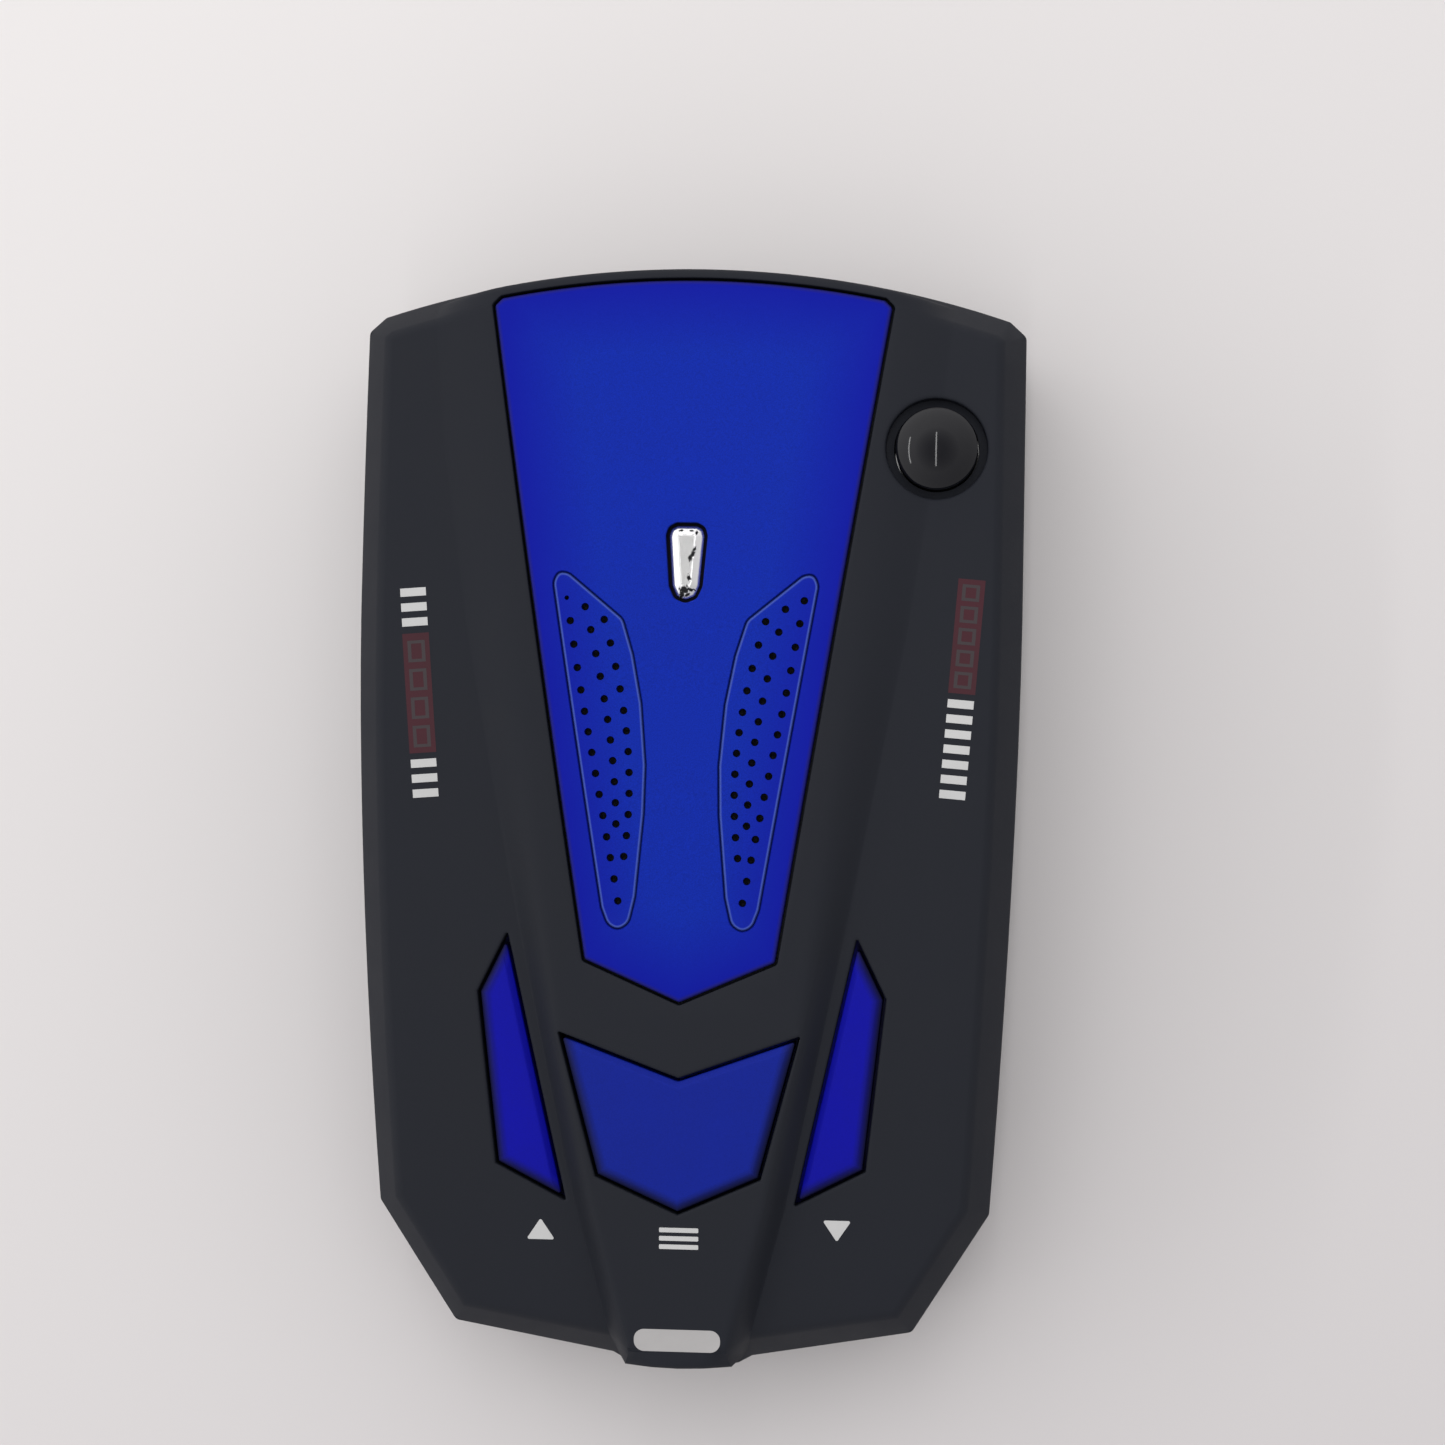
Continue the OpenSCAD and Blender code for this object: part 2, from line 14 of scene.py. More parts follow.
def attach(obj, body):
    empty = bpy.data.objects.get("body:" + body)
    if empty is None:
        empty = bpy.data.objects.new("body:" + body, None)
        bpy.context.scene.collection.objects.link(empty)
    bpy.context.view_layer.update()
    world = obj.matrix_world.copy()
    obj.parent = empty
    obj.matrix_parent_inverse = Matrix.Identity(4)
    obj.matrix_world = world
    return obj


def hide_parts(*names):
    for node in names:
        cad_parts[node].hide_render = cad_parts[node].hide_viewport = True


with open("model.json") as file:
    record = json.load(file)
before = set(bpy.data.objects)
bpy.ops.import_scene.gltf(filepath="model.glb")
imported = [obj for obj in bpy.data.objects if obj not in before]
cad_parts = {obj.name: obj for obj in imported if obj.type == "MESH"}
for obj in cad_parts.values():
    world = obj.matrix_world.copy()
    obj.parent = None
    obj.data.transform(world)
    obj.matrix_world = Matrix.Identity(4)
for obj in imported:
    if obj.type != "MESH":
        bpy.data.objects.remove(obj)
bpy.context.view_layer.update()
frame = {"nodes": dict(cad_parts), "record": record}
NODES = frame["nodes"]
MM = 0.001
SHARP = 38.0  # edges sharper than this many degrees stay sharp

# ---- driving sizes, as in the CAD ----

HALF_LEN, HALF_W = 54.0, 32.3
NOSE_R, TOP_R, HOOD_INSET = 95.0, 300.0, 0.6
BODY_CORNER_R, PANEL_CORNER_R, PANEL_POCKET_R, BADGE_CORNER_R = 0.8, 0.45, 0.2, 0.5
CREST_Z, DECK_CREST_Z = 30.0, 28.4
HOOD_CREST_Y, DECK_CREST_Y = 8.0, 14.0
SPLIT_Z, WALL, HOOD_WALL = 10.0, 2.2, 2.8
BEVEL_W, BEVEL_H = 2.4, 3.6
RECESS_DEPTH, PANEL_T, PANEL_GAP = 1.6, 1.2, 0.25
SEAM_BEVEL = 0.25
KEY_GAP, KEY_PROUD, KEY_WALL_GAP, KEY_FLANGE_T, KEY_FLANGE_W = 0.3, 0.3, 0.4, 0.9, 0.6
BADGE_GAP, BADGE_RECESS, BADGE_DROP = 0.32, 0.8, 0.1
HOLE_D, SMALL_HOLE, HOLE_PITCH = 0.75, 0.45, 2.1
FOOT_H, FLOOR_Z = 1.2, 3.2
DOME_AT, DOME_R, DOME_TOP_Z = (23.8, 36.0), 3.95, 29.8
DOME_SEAT_Z, DOME_SEAL_T, DOME_FLANGE_R, DOME_FLANGE_T = 24.6, 0.5, 5.4, 0.8
DOME_RECESS_W, DOME_RECESS_DEPTH, DOME_GAP = 0.9, 1.3, 0.15
WINDOW_LOW, WINDOW_GAP = 11.0, 0.1
FRONT_HALF_W, FRONT_HIGH, FRONT_CUT_Y = 21.0, 20.5, (45, 60)
DISPLAY_HALF_W, DISPLAY_HIGH, DISPLAY_CUT_Y = 13.5, 16.2, (-60, -47)
WHEEL_SLOT_HALF, WHEEL_SLOT_GAP = 6.6, 0.4
CASE_SCREWS_AT = [(26.5, 44.5), (-26.5, 44.5), (20.5, -43.0), (-20.5, -43.0)]
WHEEL_AT, WHEEL_R, WHEEL_LOW, WHEEL_HIGH = (-23.68, -16.0), 8.0, 13.0, 15.4
JACK_Y, JACK_Z, JACK_HOLE_R = -16.0, 13.4, 3.1


def deck_z(y):
    return DECK_CREST_Z - (y - DECK_CREST_Y) ** 2 / (2 * TOP_R)


def hood_z(y):
    return CREST_Z - (y - HOOD_CREST_Y) ** 2 / (2 * TOP_R)


# ---- outlines, clockwise from the windshield end ----


def both_sides(right):
    """A whole outline from its right half."""
    return right + [(-x, y) for x, y in reversed(right) if x > 0.01]


def mirrored(points):
    return [(-x, y) for x, y in reversed(points)]


def nose_arc(to_x, inside=0.0, steps=18):
    xs = [to_x * i / steps for i in range(steps + 1)]
    return [(x, HALF_LEN - NOSE_R + math.sqrt((NOSE_R - inside) ** 2 - x * x)) for x in xs]


TAPER_Y, TAIL_Y, TAPER = 20.0, -38.1, 2.3


def side_x(y):
    """Half the body's width where it narrows toward the driver's end."""
    return HALF_W - TAPER * ((TAPER_Y - y) / (TAPER_Y - TAIL_Y)) ** 1.6


BODY = both_sides(
    nose_arc(HALF_W - 1.6)
    + [(HALF_W, HALF_LEN - 6.6)]
    + [(side_x(y), y) for y in np.linspace(TAPER_Y, TAIL_Y, 12)]
    + [(22.6, -50.1), (6.9, -52.9), (5.5, -53.7), (0.0, -54.0)]
)
HOOD_NOSE = nose_arc(25.4, HOOD_INSET)
HOOD_RIDGE = [(24, 36), (21.2, 17.6), (16.2, -8.7), (10.3, -37.5), (6.4, -52.5)]
HOOD = both_sides(HOOD_NOSE + HOOD_RIDGE + [(5.2, -53.3), (0, -53.5)])
PANEL = both_sides(nose_arc(18.6, 1.8) + [(19.3, 49.6), (9.15, -13.6), (0, -17.6)])
MENU = both_sides([(0, -24.9), (11.7, -20.6), (8.0, -34.6), (0, -38.2)])
DOWN = [(16.9, -11.1), (19.8, -17.0), (18.0, -33.8), (11.1, -37.4)]
UP = mirrored(DOWN)
FIELD = [(5.95, 19.1), (11.3, 23.5), (12.3, 23.6), (12.8, 22.6), (7.6, -8.6), (7, -10.2), (6, -10.75),
         (4.9, -10.1), (4.3, -7.5), (3.6, 0.4), (3.5, 5.1), (4, 11), (4.9, 15.7)]
PORT = [(7, 15), (9, 15), (9.6, 14), (6.8, -6.2), (5.3, -6.2), (4.7, 5)]
BADGE = both_sides([(0, 28.15), (0.95, 28.15), (1.5, 27.85), (1.68, 27.2), (1.3, 22.4), (0.85, 21.4),
                    (0, 21.05)])
# Columns of sound holes: top y, count, and x = a + b k + c (k - d)^2
HOLE_COLUMNS = [(21.45, 15, 11.43, -0.389, 0, 0), (20.65, 11, 6.25, 0, 0.0285, 10.9),
                (19.5, 12, 5.05, 0, 0.0435, 7.9)]
# How far the holes sit nearer to the driver than an even spacing puts them, by y
HOLE_SHIFT = ((-5, -2, 2, 6, 9, 12, 16, 18.5, 21.5), (0, 0.17, 0.31, 0.48, 0.65, 0.86, 0.77, 0.53, 0.38))


# ---- plane geometry ----


def inset(points, d):
    """A clockwise outline moved inwards by d, with mitred corners."""
    p = np.array(points, float)
    step = np.roll(p, -1, axis=0) - p
    step /= np.linalg.norm(step, axis=1)[:, None]
    after = np.stack([step[:, 1], -step[:, 0]], axis=1)
    before = np.roll(after, 1, axis=0)
    mitre = (before + after) / (1 + np.sum(before * after, axis=1))[:, None]
    return [tuple(q) for q in p + d * mitre]


def corner_arc(a, b, c, r, steps, least_turn=0.12):
    """The points that round corner b of the path a-b-c to radius r."""
    a, b, c = (np.array(q, float) for q in (a, b, c))
    u, v = a - b, c - b
    len_u, len_v = np.linalg.norm(u), np.linalg.norm(v)
    u, v = u / len_u, v / len_v
    angle = math.acos(max(-1.0, min(1.0, float(u @ v))))
    if math.pi - angle < least_turn or r < 0.02:
        return [tuple(b)]
    back = min(r / math.tan(angle / 2), 0.46 * min(len_u, len_v))
    r = back * math.tan(angle / 2)
    centre = b + (u + v) / np.linalg.norm(u + v) * (r / math.sin(angle / 2))
    start, end = b + u * back - centre, b + v * back - centre
    a0 = math.atan2(start[1], start[0])
    turn = (math.atan2(end[1], end[0]) - a0 + math.pi) % (2 * math.pi) - math.pi
    return [tuple(centre + r * np.array([math.cos(a0 + turn * i / steps), math.sin(a0 + turn * i / steps)]))
            for i in range(steps + 1)]


def rounded(points, d=0.0, r=0.5, steps=5):
    """An outline inset by d whose corners were rounded to radius r at the outline itself."""
    p = inset(points, d)
    n, out = len(p), []
    for i in range(n):
        a, b, c = p[i - 1], p[i], p[(i + 1) % n]
        convex = (b[0] - a[0]) * (c[1] - b[1]) - (b[1] - a[1]) * (c[0] - b[0]) < 0
        out += corner_arc(a, b, c, max(r - d if convex else r + d, 0.0), steps)
    return out


def profile(points, radii, steps=6):
    """An open (distance, height) path with its inner corners rounded, as two arrays."""
    out = [points[0]]
    for i in range(1, len(points) - 1):
        out += corner_arc(points[i - 1], points[i], points[i + 1], radii[i - 1], steps)
    out.append(points[-1])
    out = [q for q in out if q[0] >= -1e-9]
    xs, zs = np.array([q[0] for q in out]), np.array([q[1] for q in out])
    keep = np.append(np.diff(xs) > 1e-6, True)
    return xs[keep], zs[keep]


def reach(pts, at):
    """Distance of points from one place."""
    return np.hypot(pts[:, 0] - at[0], pts[:, 1] - at[1])


def distance(pts, loop, closed=True):
    """Unsigned distance of points from a path."""
    a = np.array(loop, float)
    b = np.roll(a, -1, axis=0)
    if not closed:
        a, b = a[:-1], b[:-1]
    best = np.full(len(pts), 1e9)
    for p, q in zip(a, b):
        t = np.clip((pts - p) @ (q - p) / max((q - p) @ (q - p), 1e-12), 0, 1)
        best = np.minimum(best, np.linalg.norm(pts - p - t[:, None] * (q - p), axis=1))
    return best


def inside(pts, loop):
    """Which points are inside a loop."""
    a = np.array(loop, float)
    b = np.roll(a, -1, axis=0)
    hit = np.zeros(len(pts), bool)
    for (x0, y0), (x1, y1) in zip(a, b):
        if y0 == y1:
            continue
        cross = (y0 > pts[:, 1]) != (y1 > pts[:, 1])
        hit ^= cross & (pts[:, 0] < (x1 - x0) * (pts[:, 1] - y0) / (y1 - y0) + x0)
    return hit


def depth(pts, loop):
    """Signed distance into a loop, positive inside."""
    d = distance(pts, loop)
    return np.where(inside(pts, loop), d, -d)


def circle(centre, r, n=48, way=-1):
    """A circle, clockwise for way -1."""
    angles = [way * 2 * math.pi * i / n for i in range(n)]
    return [(centre[0] + r * math.cos(a), centre[1] + r * math.sin(a)) for a in angles]


def divided(loop, longest):
    """A loop with its long edges cut into equal lengths, so that they follow a curved surface."""
    out = []
    for p, q in zip(loop, loop[1:] + loop[:1]):
        n = max(1, math.ceil(math.dist(p, q) / longest))
        out += [(p[0] + (q[0] - p[0]) * i / n, p[1] + (q[1] - p[1]) * i / n) for i in range(n)]
    return out


def triangulated(outline, rings, holes, spacing):
    """Triangles over an outline less its holes, with every ring as edges of them."""
    outline = divided(outline, spacing)
    rings, holes = [divided(r, spacing) for r in rings], [divided(h, spacing) for h in holes]
    verts, edges = [], []
    for loop in [outline] + rings + holes:
        n, m = len(verts), len(loop)
        verts += loop
        edges += [(n + i, n + (i + 1) % m) for i in range(m)]
    on_rings = np.array(verts, float)
    low, high = on_rings.min(axis=0), on_rings.max(axis=0)
    xs = np.arange(low[0] + spacing / 2, high[0], spacing)
    ys = np.arange(low[1] + spacing / 2, high[1], spacing)
    grid = np.array([(x + (spacing / 2 if j % 2 else 0), y) for j, y in enumerate(ys) for x in xs])
    if len(grid):
        clear = inside(grid, outline)
        for loop in [outline] + rings + holes:
            clear[clear] &= distance(grid[clear], loop) > 0.3 * spacing
        verts += [tuple(p) for p in grid[clear]]
    made = geometry.delaunay_2d_cdt([Vector(v) for v in verts], edges, [], 0, 1e-5)
    pts = np.array([tuple(v) for v in made[0]])
    tris = np.array([tuple(f) for f in made[2]])
    mid = pts[tris].mean(axis=1)
    keep = inside(mid, outline)
    for loop in holes:
        keep &= ~inside(mid, loop)
    return pts, tris[keep], mid[keep]


# ---- solids from height functions ----


def boundary(tris):
    """Directed edges that only one triangle has."""
    seen = {(t[i], t[(i + 1) % 3]) for t in tris.tolist() for i in range(3)}
    return [e for e in seen if (e[1], e[0]) not in seen]


def new_object(name, points, faces):
    """A mesh object from points in millimetres."""
    mesh = bpy.data.meshes.new(name)
    mesh.from_pydata([tuple(c * MM for c in p) for p in points], [],
                     [tuple(int(i) for i in f) for f in faces])
    mesh.update()
    smooth(mesh)
    obj = bpy.data.objects.new(name, mesh)
    bpy.context.scene.collection.objects.link(obj)
    return obj


def smooth(mesh, sharp=SHARP):
    mesh.shade_smooth()
    mesh.set_sharp_from_angle(angle=math.radians(sharp))


def compact(points, faces):
    """Drops the points that no face uses."""
    used = sorted({int(i) for f in faces for i in f})
    place = {old: new for new, old in enumerate(used)}
    return [points[i] for i in used], [tuple(place[int(i)] for i in f) for f in faces]


def raised(pts, heights):
    return [(x, y, z) for (x, y), z in zip(pts, heights)]


def slab(name, outline, rings, holes, top, bottom, spacing):
    """A closed solid between two height functions."""
    pts, tris, _ = triangulated(outline, rings, holes, spacing)
    n = len(pts)
    points = raised(pts, top(pts)) + raised(pts, bottom(pts))
    faces = [tuple(t) for t in tris] + [(c + n, b + n, a + n) for a, b, c in tris]
    faces += [(b, a, a + n, b + n) for a, b in boundary(tris)]
    return new_object(name, *compact(points, faces))


def shell(name, outline, rings, holes, top, under, split, flip=False, spacing=3.0):
    """A closed cover: top(pts) over the outline, under(pts) inside its wall, and the walls down to split."""
    inner_ring = rounded(outline, WALL, 0.0)
    edge = rounded(outline, 0, BODY_CORNER_R)
    pts, tris, mid = triangulated(edge, rings + [inner_ring], holes, spacing)
    is_inner = inside(mid, inner_ring)
    n = len(pts)
    z_top, z_in = top(pts), under(pts)
    points = raised(pts, z_top) + raised(pts, z_in) + raised(pts, [split] * n)
    faces = [tuple(t) for t in tris]
    faces += [(c + n, b + n, a + n) for a, b, c in tris[is_inner]]
    faces += [(c + 2 * n, b + 2 * n, a + 2 * n) for a, b, c in tris[~is_inner]]
    at_edge = depth(pts, edge) < 0.01
    open_edges = boundary(tris)
    faces += [(b, a, a + n, b + n) for a, b in open_edges if not (at_edge[a] and at_edge[b])]
    at_holes = set(open_edges)
    faces += [(a + n, b + n, b + 2 * n, a + 2 * n) for a, b in boundary(tris[is_inner])
              if (a, b) not in at_holes]
    # The outer wall, with a small bevel where it meets the other cover
    around = {a: b for a, b in open_edges if at_edge[a] and at_edge[b]}
    back = {b: a for a, b in around.items()}
    rows = {}
    for a in around:
        before, after = pts[a] - pts[back[a]], pts[around[a]] - pts[a]
        normal = np.array([-before[1], before[0]]) / np.linalg.norm(before)
        normal = normal + np.array([-after[1], after[0]]) / np.linalg.norm(after)
        normal /= np.linalg.norm(normal)
        column = [a + 2 * n]
        points[a + 2 * n] = (*(pts[a] + normal * SEAM_BEVEL), split)
        height = z_top[a] - split
        for up in (SEAM_BEVEL, 0.35 * height, 0.7 * height):
            column.append(len(points))
            points.append((*pts[a], split + up))
        rows[a] = column + [a]
    for a, b in around.items():
        for i in range(len(rows[a]) - 1):
            faces.append((rows[b][i + 1], rows[a][i + 1], rows[a][i], rows[b][i]))
    points, faces = compact(points, faces)
    if flip:
        points = [(x, y, -z) for x, y, z in points]
        faces = [tuple(reversed(f)) for f in faces]
    return new_object(name, points, faces)


def skin(rows):
    """Faces between rows of point numbers that go around an axis. A row on the axis has one point."""
    n = max(len(row) for row in rows)
    faces = []
    for low, high in zip(rows, rows[1:]):
        for i in range(n):
            j = (i + 1) % n
            corners = low[i % len(low)], low[j % len(low)], high[j % len(high)], high[i % len(high)]
            faces.append(tuple(dict.fromkeys(corners)))
    return faces


def lathe(name, path, centre, segments=96):
    """A closed turned solid about +Z from an open (radius, height) path that starts and ends on the axis."""
    points, rows = [], []
    for r, z in path:
        ring = circle(centre, r, segments, 1) if r > 1e-6 else [centre]
        rows.append(range(len(points), len(points) + len(ring)))
        points += raised(ring, [z] * len(ring))
    return new_object(name, points, skin(rows))


def set_attribute(obj, name, values):
    layer = obj.data.attributes.new(name, "FLOAT", "POINT")
    layer.data.foreach_set("value", np.asarray(values, dtype=np.float32))


def plan(obj):
    """The plan positions of an object's points, in millimetres."""
    flat = np.empty(3 * len(obj.data.vertices), dtype=np.float32)
    obj.data.vertices.foreach_get("co", flat)
    return flat.reshape(-1, 3)[:, :2].astype(float) / MM


# ---- the top cover ----

WALL_STEP = 0.03  # plan width of a pocket's steep wall
HOOD_SIDE_WALL = 1.9
BODY_EDGE = rounded(BODY, 0, BODY_CORNER_R)
DECK_DROP = profile([(0, -9), (0, -BEVEL_H), (BEVEL_W, 0), (9, 0)], [0.9, 1.4])
HOOD_SIDE = [HOOD_NOSE[-1]] + HOOD_RIDGE
HOOD_TAIL = [p for p in HOOD if p[1] < -52]
HOOD_EDGE_R, HAIR = 0.6, 0.0005
HOOD_SLOPE_W, HOOD_SLOPE_Y = (2.3, 7.0), (-22.0, 30.0)
PANEL_POCKET = rounded(PANEL, -PANEL_GAP, PANEL_POCKET_R)
KEY_HOLE_R, KEY_CORNER_R = 0.12, 0.2
KEY_HOLES = {name: rounded(p, 0, KEY_HOLE_R) for name, p in (("menu", MENU), ("down", DOWN), ("up", UP))}
DOME_POCKET_R = DOME_R + DOME_RECESS_W


def quarter(s, width, drop):
    """How far a rounded lip is below its surface, at s outside its edge."""
    t = np.clip(s / width, 0, 1)
    return drop * (1 - np.sqrt(1 - (1 - t) ** 2))


def pocket(s, deep):
    """How far a pocket is below its surface, at s outside its edge."""
    return deep * np.clip(1 - s / WALL_STEP, 0, 1)


def smooth_top(pts):
    """The height of the deck, its bevels and the hood, without pockets."""
    y = pts[:, 1]
    deck = deck_z(y) + np.interp(distance(pts, BODY_EDGE), *DECK_DROP)
    right = distance(pts, HOOD_SIDE, closed=False)
    left = distance(pts, mirrored(HOOD_SIDE), closed=False)
    t = np.clip(np.minimum(right, left) / np.interp(y, HOOD_SLOPE_Y, HOOD_SLOPE_W), 0, 1)
    nose = NOSE_R - HOOD_INSET - np.hypot(pts[:, 0], y - (HALF_LEN - NOSE_R))
    tail = distance(pts, HOOD_TAIL, closed=False)
    hood = hood_z(y) - quarter(np.minimum(nose, tail), HOOD_EDGE_R, HOOD_EDGE_R)
    slope = t ** 1.3 * (2.3 - 1.3 * t)
    return np.where(inside(pts, inset(HOOD, -HAIR)), deck + (hood - deck) * slope, deck)


def cover_top(pts):
    z = smooth_top(pts)
    s = np.maximum(-depth(pts, PANEL_POCKET), 0)
    z -= pocket(s, RECESS_DEPTH) + quarter(s - WALL_STEP, 0.16, 0.12)
    s = np.maximum(reach(pts, DOME_AT) - DOME_POCKET_R, 0)
    z -= pocket(s, DOME_RECESS_DEPTH) + quarter(s - WALL_STEP, 0.4, 0.2)
    for hole in KEY_HOLES.values():
        z -= quarter(distance(pts, hole), 0.3, 0.2)
    return z


def cover_under(pts):
    y = pts[:, 1]
    s = np.clip(depth(pts, inset(HOOD, HOOD_SIDE_WALL)) / WALL_STEP, 0, 1)
    return deck_z(y) - WALL + s * (hood_z(y) - HOOD_WALL - deck_z(y) + WALL)


rings = [rounded(BODY, d, BODY_CORNER_R) for d in [*DECK_DROP[0][1:-1], 3.0]]
rings += [inset(HOOD, d) for d in (-0.3, -WALL_STEP, 0, 0.06, 0.15, 0.3, 0.45, 0.6, 0.9, 1.2, 1.5,
                                  HOOD_SIDE_WALL, HOOD_SIDE_WALL + WALL_STEP,
                                  2.3, 2.8, 3.5, 4.3, 5.2, 6.2)]
rings += [rounded(PANEL, -PANEL_GAP - d, PANEL_POCKET_R) for d in (0, 0.03, 0.05, 0.09, 0.19)]
rings += [circle(DOME_AT, DOME_POCKET_R + d, 64) for d in (0, 0.03, 0.07, 0.15, 0.27, 0.43, 0.7)]
for hole in (MENU, DOWN, UP):
    rings += [rounded(hole, -d, KEY_HOLE_R) for d in (0.04, 0.1, 0.18, 0.3, 0.5)]
holes = list(KEY_HOLES.values()) + [circle(DOME_AT, DOME_R + DOME_GAP, 64)] + [PORT, mirrored(PORT)]
top_shell = shell("top_shell", BODY, rings, holes, cover_top, cover_under, SPLIT_Z)


def box_faces(start):
    return [tuple(start + i for i in f) for f in
            [(0, 2, 3, 1), (4, 5, 7, 6), (0, 1, 5, 4), (2, 6, 7, 3), (0, 4, 6, 2), (1, 3, 7, 5)]]


def box_points(low, high):
    return [(x, y, z) for z in (low[2], high[2]) for y in (low[1], high[1]) for x in (low[0], high[0])]


def cut(obj, boxes, bores):
    """Cuts boxes, and bores along X, out of a closed mesh."""
    points, faces = [], []
    for low, high in boxes:
        faces += box_faces(len(points))
        points += box_points(low, high)
    for ends, y, z, r in bores:
        n, k = len(points), 48
        points += [(x, *at) for x in ends for at in circle((y, z), r, k, 1)]
        faces += [(n + i, n + (i + 1) % k, n + k + (i + 1) % k, n + k + i) for i in range(k)]
        faces += [tuple(n + i for i in reversed(range(k))), tuple(n + k + i for i in range(k))]
    cutter = new_object("cutter", points, faces)
    mod = obj.modifiers.new("openings", "BOOLEAN")
    mod.object, mod.operation, mod.solver = cutter, "DIFFERENCE", "EXACT"
    bpy.context.view_layer.update()
    made = bpy.data.meshes.new_from_object(obj.evaluated_get(bpy.context.evaluated_depsgraph_get()))
    obj.modifiers.remove(mod)
    old, obj.data = obj.data, made
    bpy.data.meshes.remove(old)
    bpy.data.objects.remove(cutter)
    smooth(made)


def window_box(half_w, cut_y, high):
    return ((-half_w - WINDOW_GAP, cut_y[0], WINDOW_LOW - WINDOW_GAP),
            (half_w + WINDOW_GAP, cut_y[1], high + WINDOW_GAP))


wheel_slot = ((-40, WHEEL_AT[1] - WHEEL_SLOT_HALF, WHEEL_LOW - WHEEL_SLOT_GAP),
              (-28, WHEEL_AT[1] + WHEEL_SLOT_HALF, WHEEL_HIGH + WHEEL_SLOT_GAP))
cut(top_shell,
    [window_box(FRONT_HALF_W, FRONT_CUT_Y, FRONT_HIGH),
     window_box(DISPLAY_HALF_W, DISPLAY_CUT_Y, DISPLAY_HIGH), wheel_slot],
    [((27, 40), JACK_Y, JACK_Z, JACK_HOLE_R)])

# ---- the bottom cover ----

UNDER_EDGE = profile([(0, -9), (0, -3.4), (1.8, 0), (9, 0)], [1.6, 1.2])
SCREW_POCKET_R, SCREW_SEAT_Z, BOSS_R = 2.3, 5.0, 3.2


def from_screws(pts):
    return np.min([reach(pts, at) for at in CASE_SCREWS_AT], axis=0)


def base_under(pts):
    z = -FOOT_H + np.interp(distance(pts, BODY_EDGE), *UNDER_EDGE)
    s = np.maximum(from_screws(pts) - SCREW_POCKET_R, 0)
    return z - pocket(s, SCREW_SEAT_Z - FOOT_H) - quarter(s - WALL_STEP, 0.2, 0.12)


def base_floor(pts):
    return -FLOOR_Z - pocket(np.maximum(from_screws(pts) - BOSS_R, 0), SPLIT_Z - FLOOR_Z - 0.05)


rings = [rounded(BODY, d, BODY_CORNER_R) for d in [*UNDER_EDGE[0][1:-1], 3.0]]
for at in CASE_SCREWS_AT:
    rings += [circle(at, SCREW_POCKET_R + d, 32) for d in (0, WALL_STEP, 0.08, 0.15, 0.23)]
    rings += [circle(at, BOSS_R + d, 32) for d in (0, WALL_STEP)]
bottom_shell = shell("bottom_shell", BODY, rings, [], base_under, base_floor, -SPLIT_Z,
                     flip=True, spacing=5.0)

# ---- the blue panel and its chrome inlay ----

PANEL_EDGE = rounded(PANEL, 0, PANEL_CORNER_R)
BADGE_POCKET = rounded(BADGE, -BADGE_GAP, BADGE_CORNER_R)
GROOVE_HALF_W, GROOVE_DEPTH, GROOVE_CORNER_R = 0.16, 0.18, 1.4
FIELDS = [FIELD, mirrored(FIELD)]


def panel_top(pts):
    z = hood_z(pts[:, 1]) - quarter(distance(pts, PANEL_EDGE), 0.3, 0.3)
    for field in FIELDS:
        s = distance(pts, rounded(field, 0, GROOVE_CORNER_R))
        z -= GROOVE_DEPTH * np.clip(1 - s / GROOVE_HALF_W, 0, 1)
    s = np.maximum(-depth(pts, BADGE_POCKET), 0)
    return z - pocket(s, BADGE_RECESS) - quarter(s - WALL_STEP, 0.12, 0.08)


sound_holes = []
for y0, count, a, b, c, d in HOLE_COLUMNS:
    for k in range(count):
        y = y0 - HOLE_PITCH * k
        at = (a + b * k + c * (k - d) ** 2, y - float(np.interp(y, *HOLE_SHIFT)))
        sound_holes.append(circle(at, HOLE_D / 2, 14))
        # The first hole of the left field is a small one
        size = SMALL_HOLE if (y0, k) == (HOLE_COLUMNS[0][0], 0) else HOLE_D
        sound_holes.append(circle((-at[0], at[1]), size / 2, 14))
rings = [rounded(PANEL, d, PANEL_CORNER_R) for d in (0.02, 0.06, 0.12, 0.2, 0.3, 0.6)]
rings += [rounded(field, d, GROOVE_CORNER_R) for field in FIELDS
          for d in (-GROOVE_HALF_W, 0, GROOVE_HALF_W, 2 * GROOVE_HALF_W)]
rings += [rounded(BADGE, -BADGE_GAP - d, BADGE_CORNER_R) for d in (0, 0.03, 0.05, 0.09, 0.15)]
blue_insert = slab("blue_insert", PANEL_EDGE, rings, sound_holes, panel_top,
                   lambda pts: hood_z(pts[:, 1]) - PANEL_T, 2.5)
places = plan(blue_insert)
# Distance from the panel's edge, which places its painted edge highlight and the painted sheen away from the
# edge
set_attribute(blue_insert, "rim", distance(places, PANEL_EDGE))
# Painted shade along the engraved line round each field of holes, and a painted highlight along its inner lip
groove_in = np.max([depth(places, rounded(field, 0, GROOVE_CORNER_R)) for field in FIELDS], axis=0)
set_attribute(blue_insert, "groove_shade", np.clip(1 - abs(groove_in) / GROOVE_HALF_W, 0, 1))
# Painted shade: the badge's pocket is coloured near-black, where the gap round the inlay lies in shade
set_attribute(blue_insert, "pocket", np.clip(1 + depth(places, BADGE_POCKET) / WALL_STEP, 0, 1))
set_attribute(blue_insert, "groove_lip_highlight", np.clip(1 - abs(groove_in - GROOVE_HALF_W) / GROOVE_HALF_W, 0, 1))

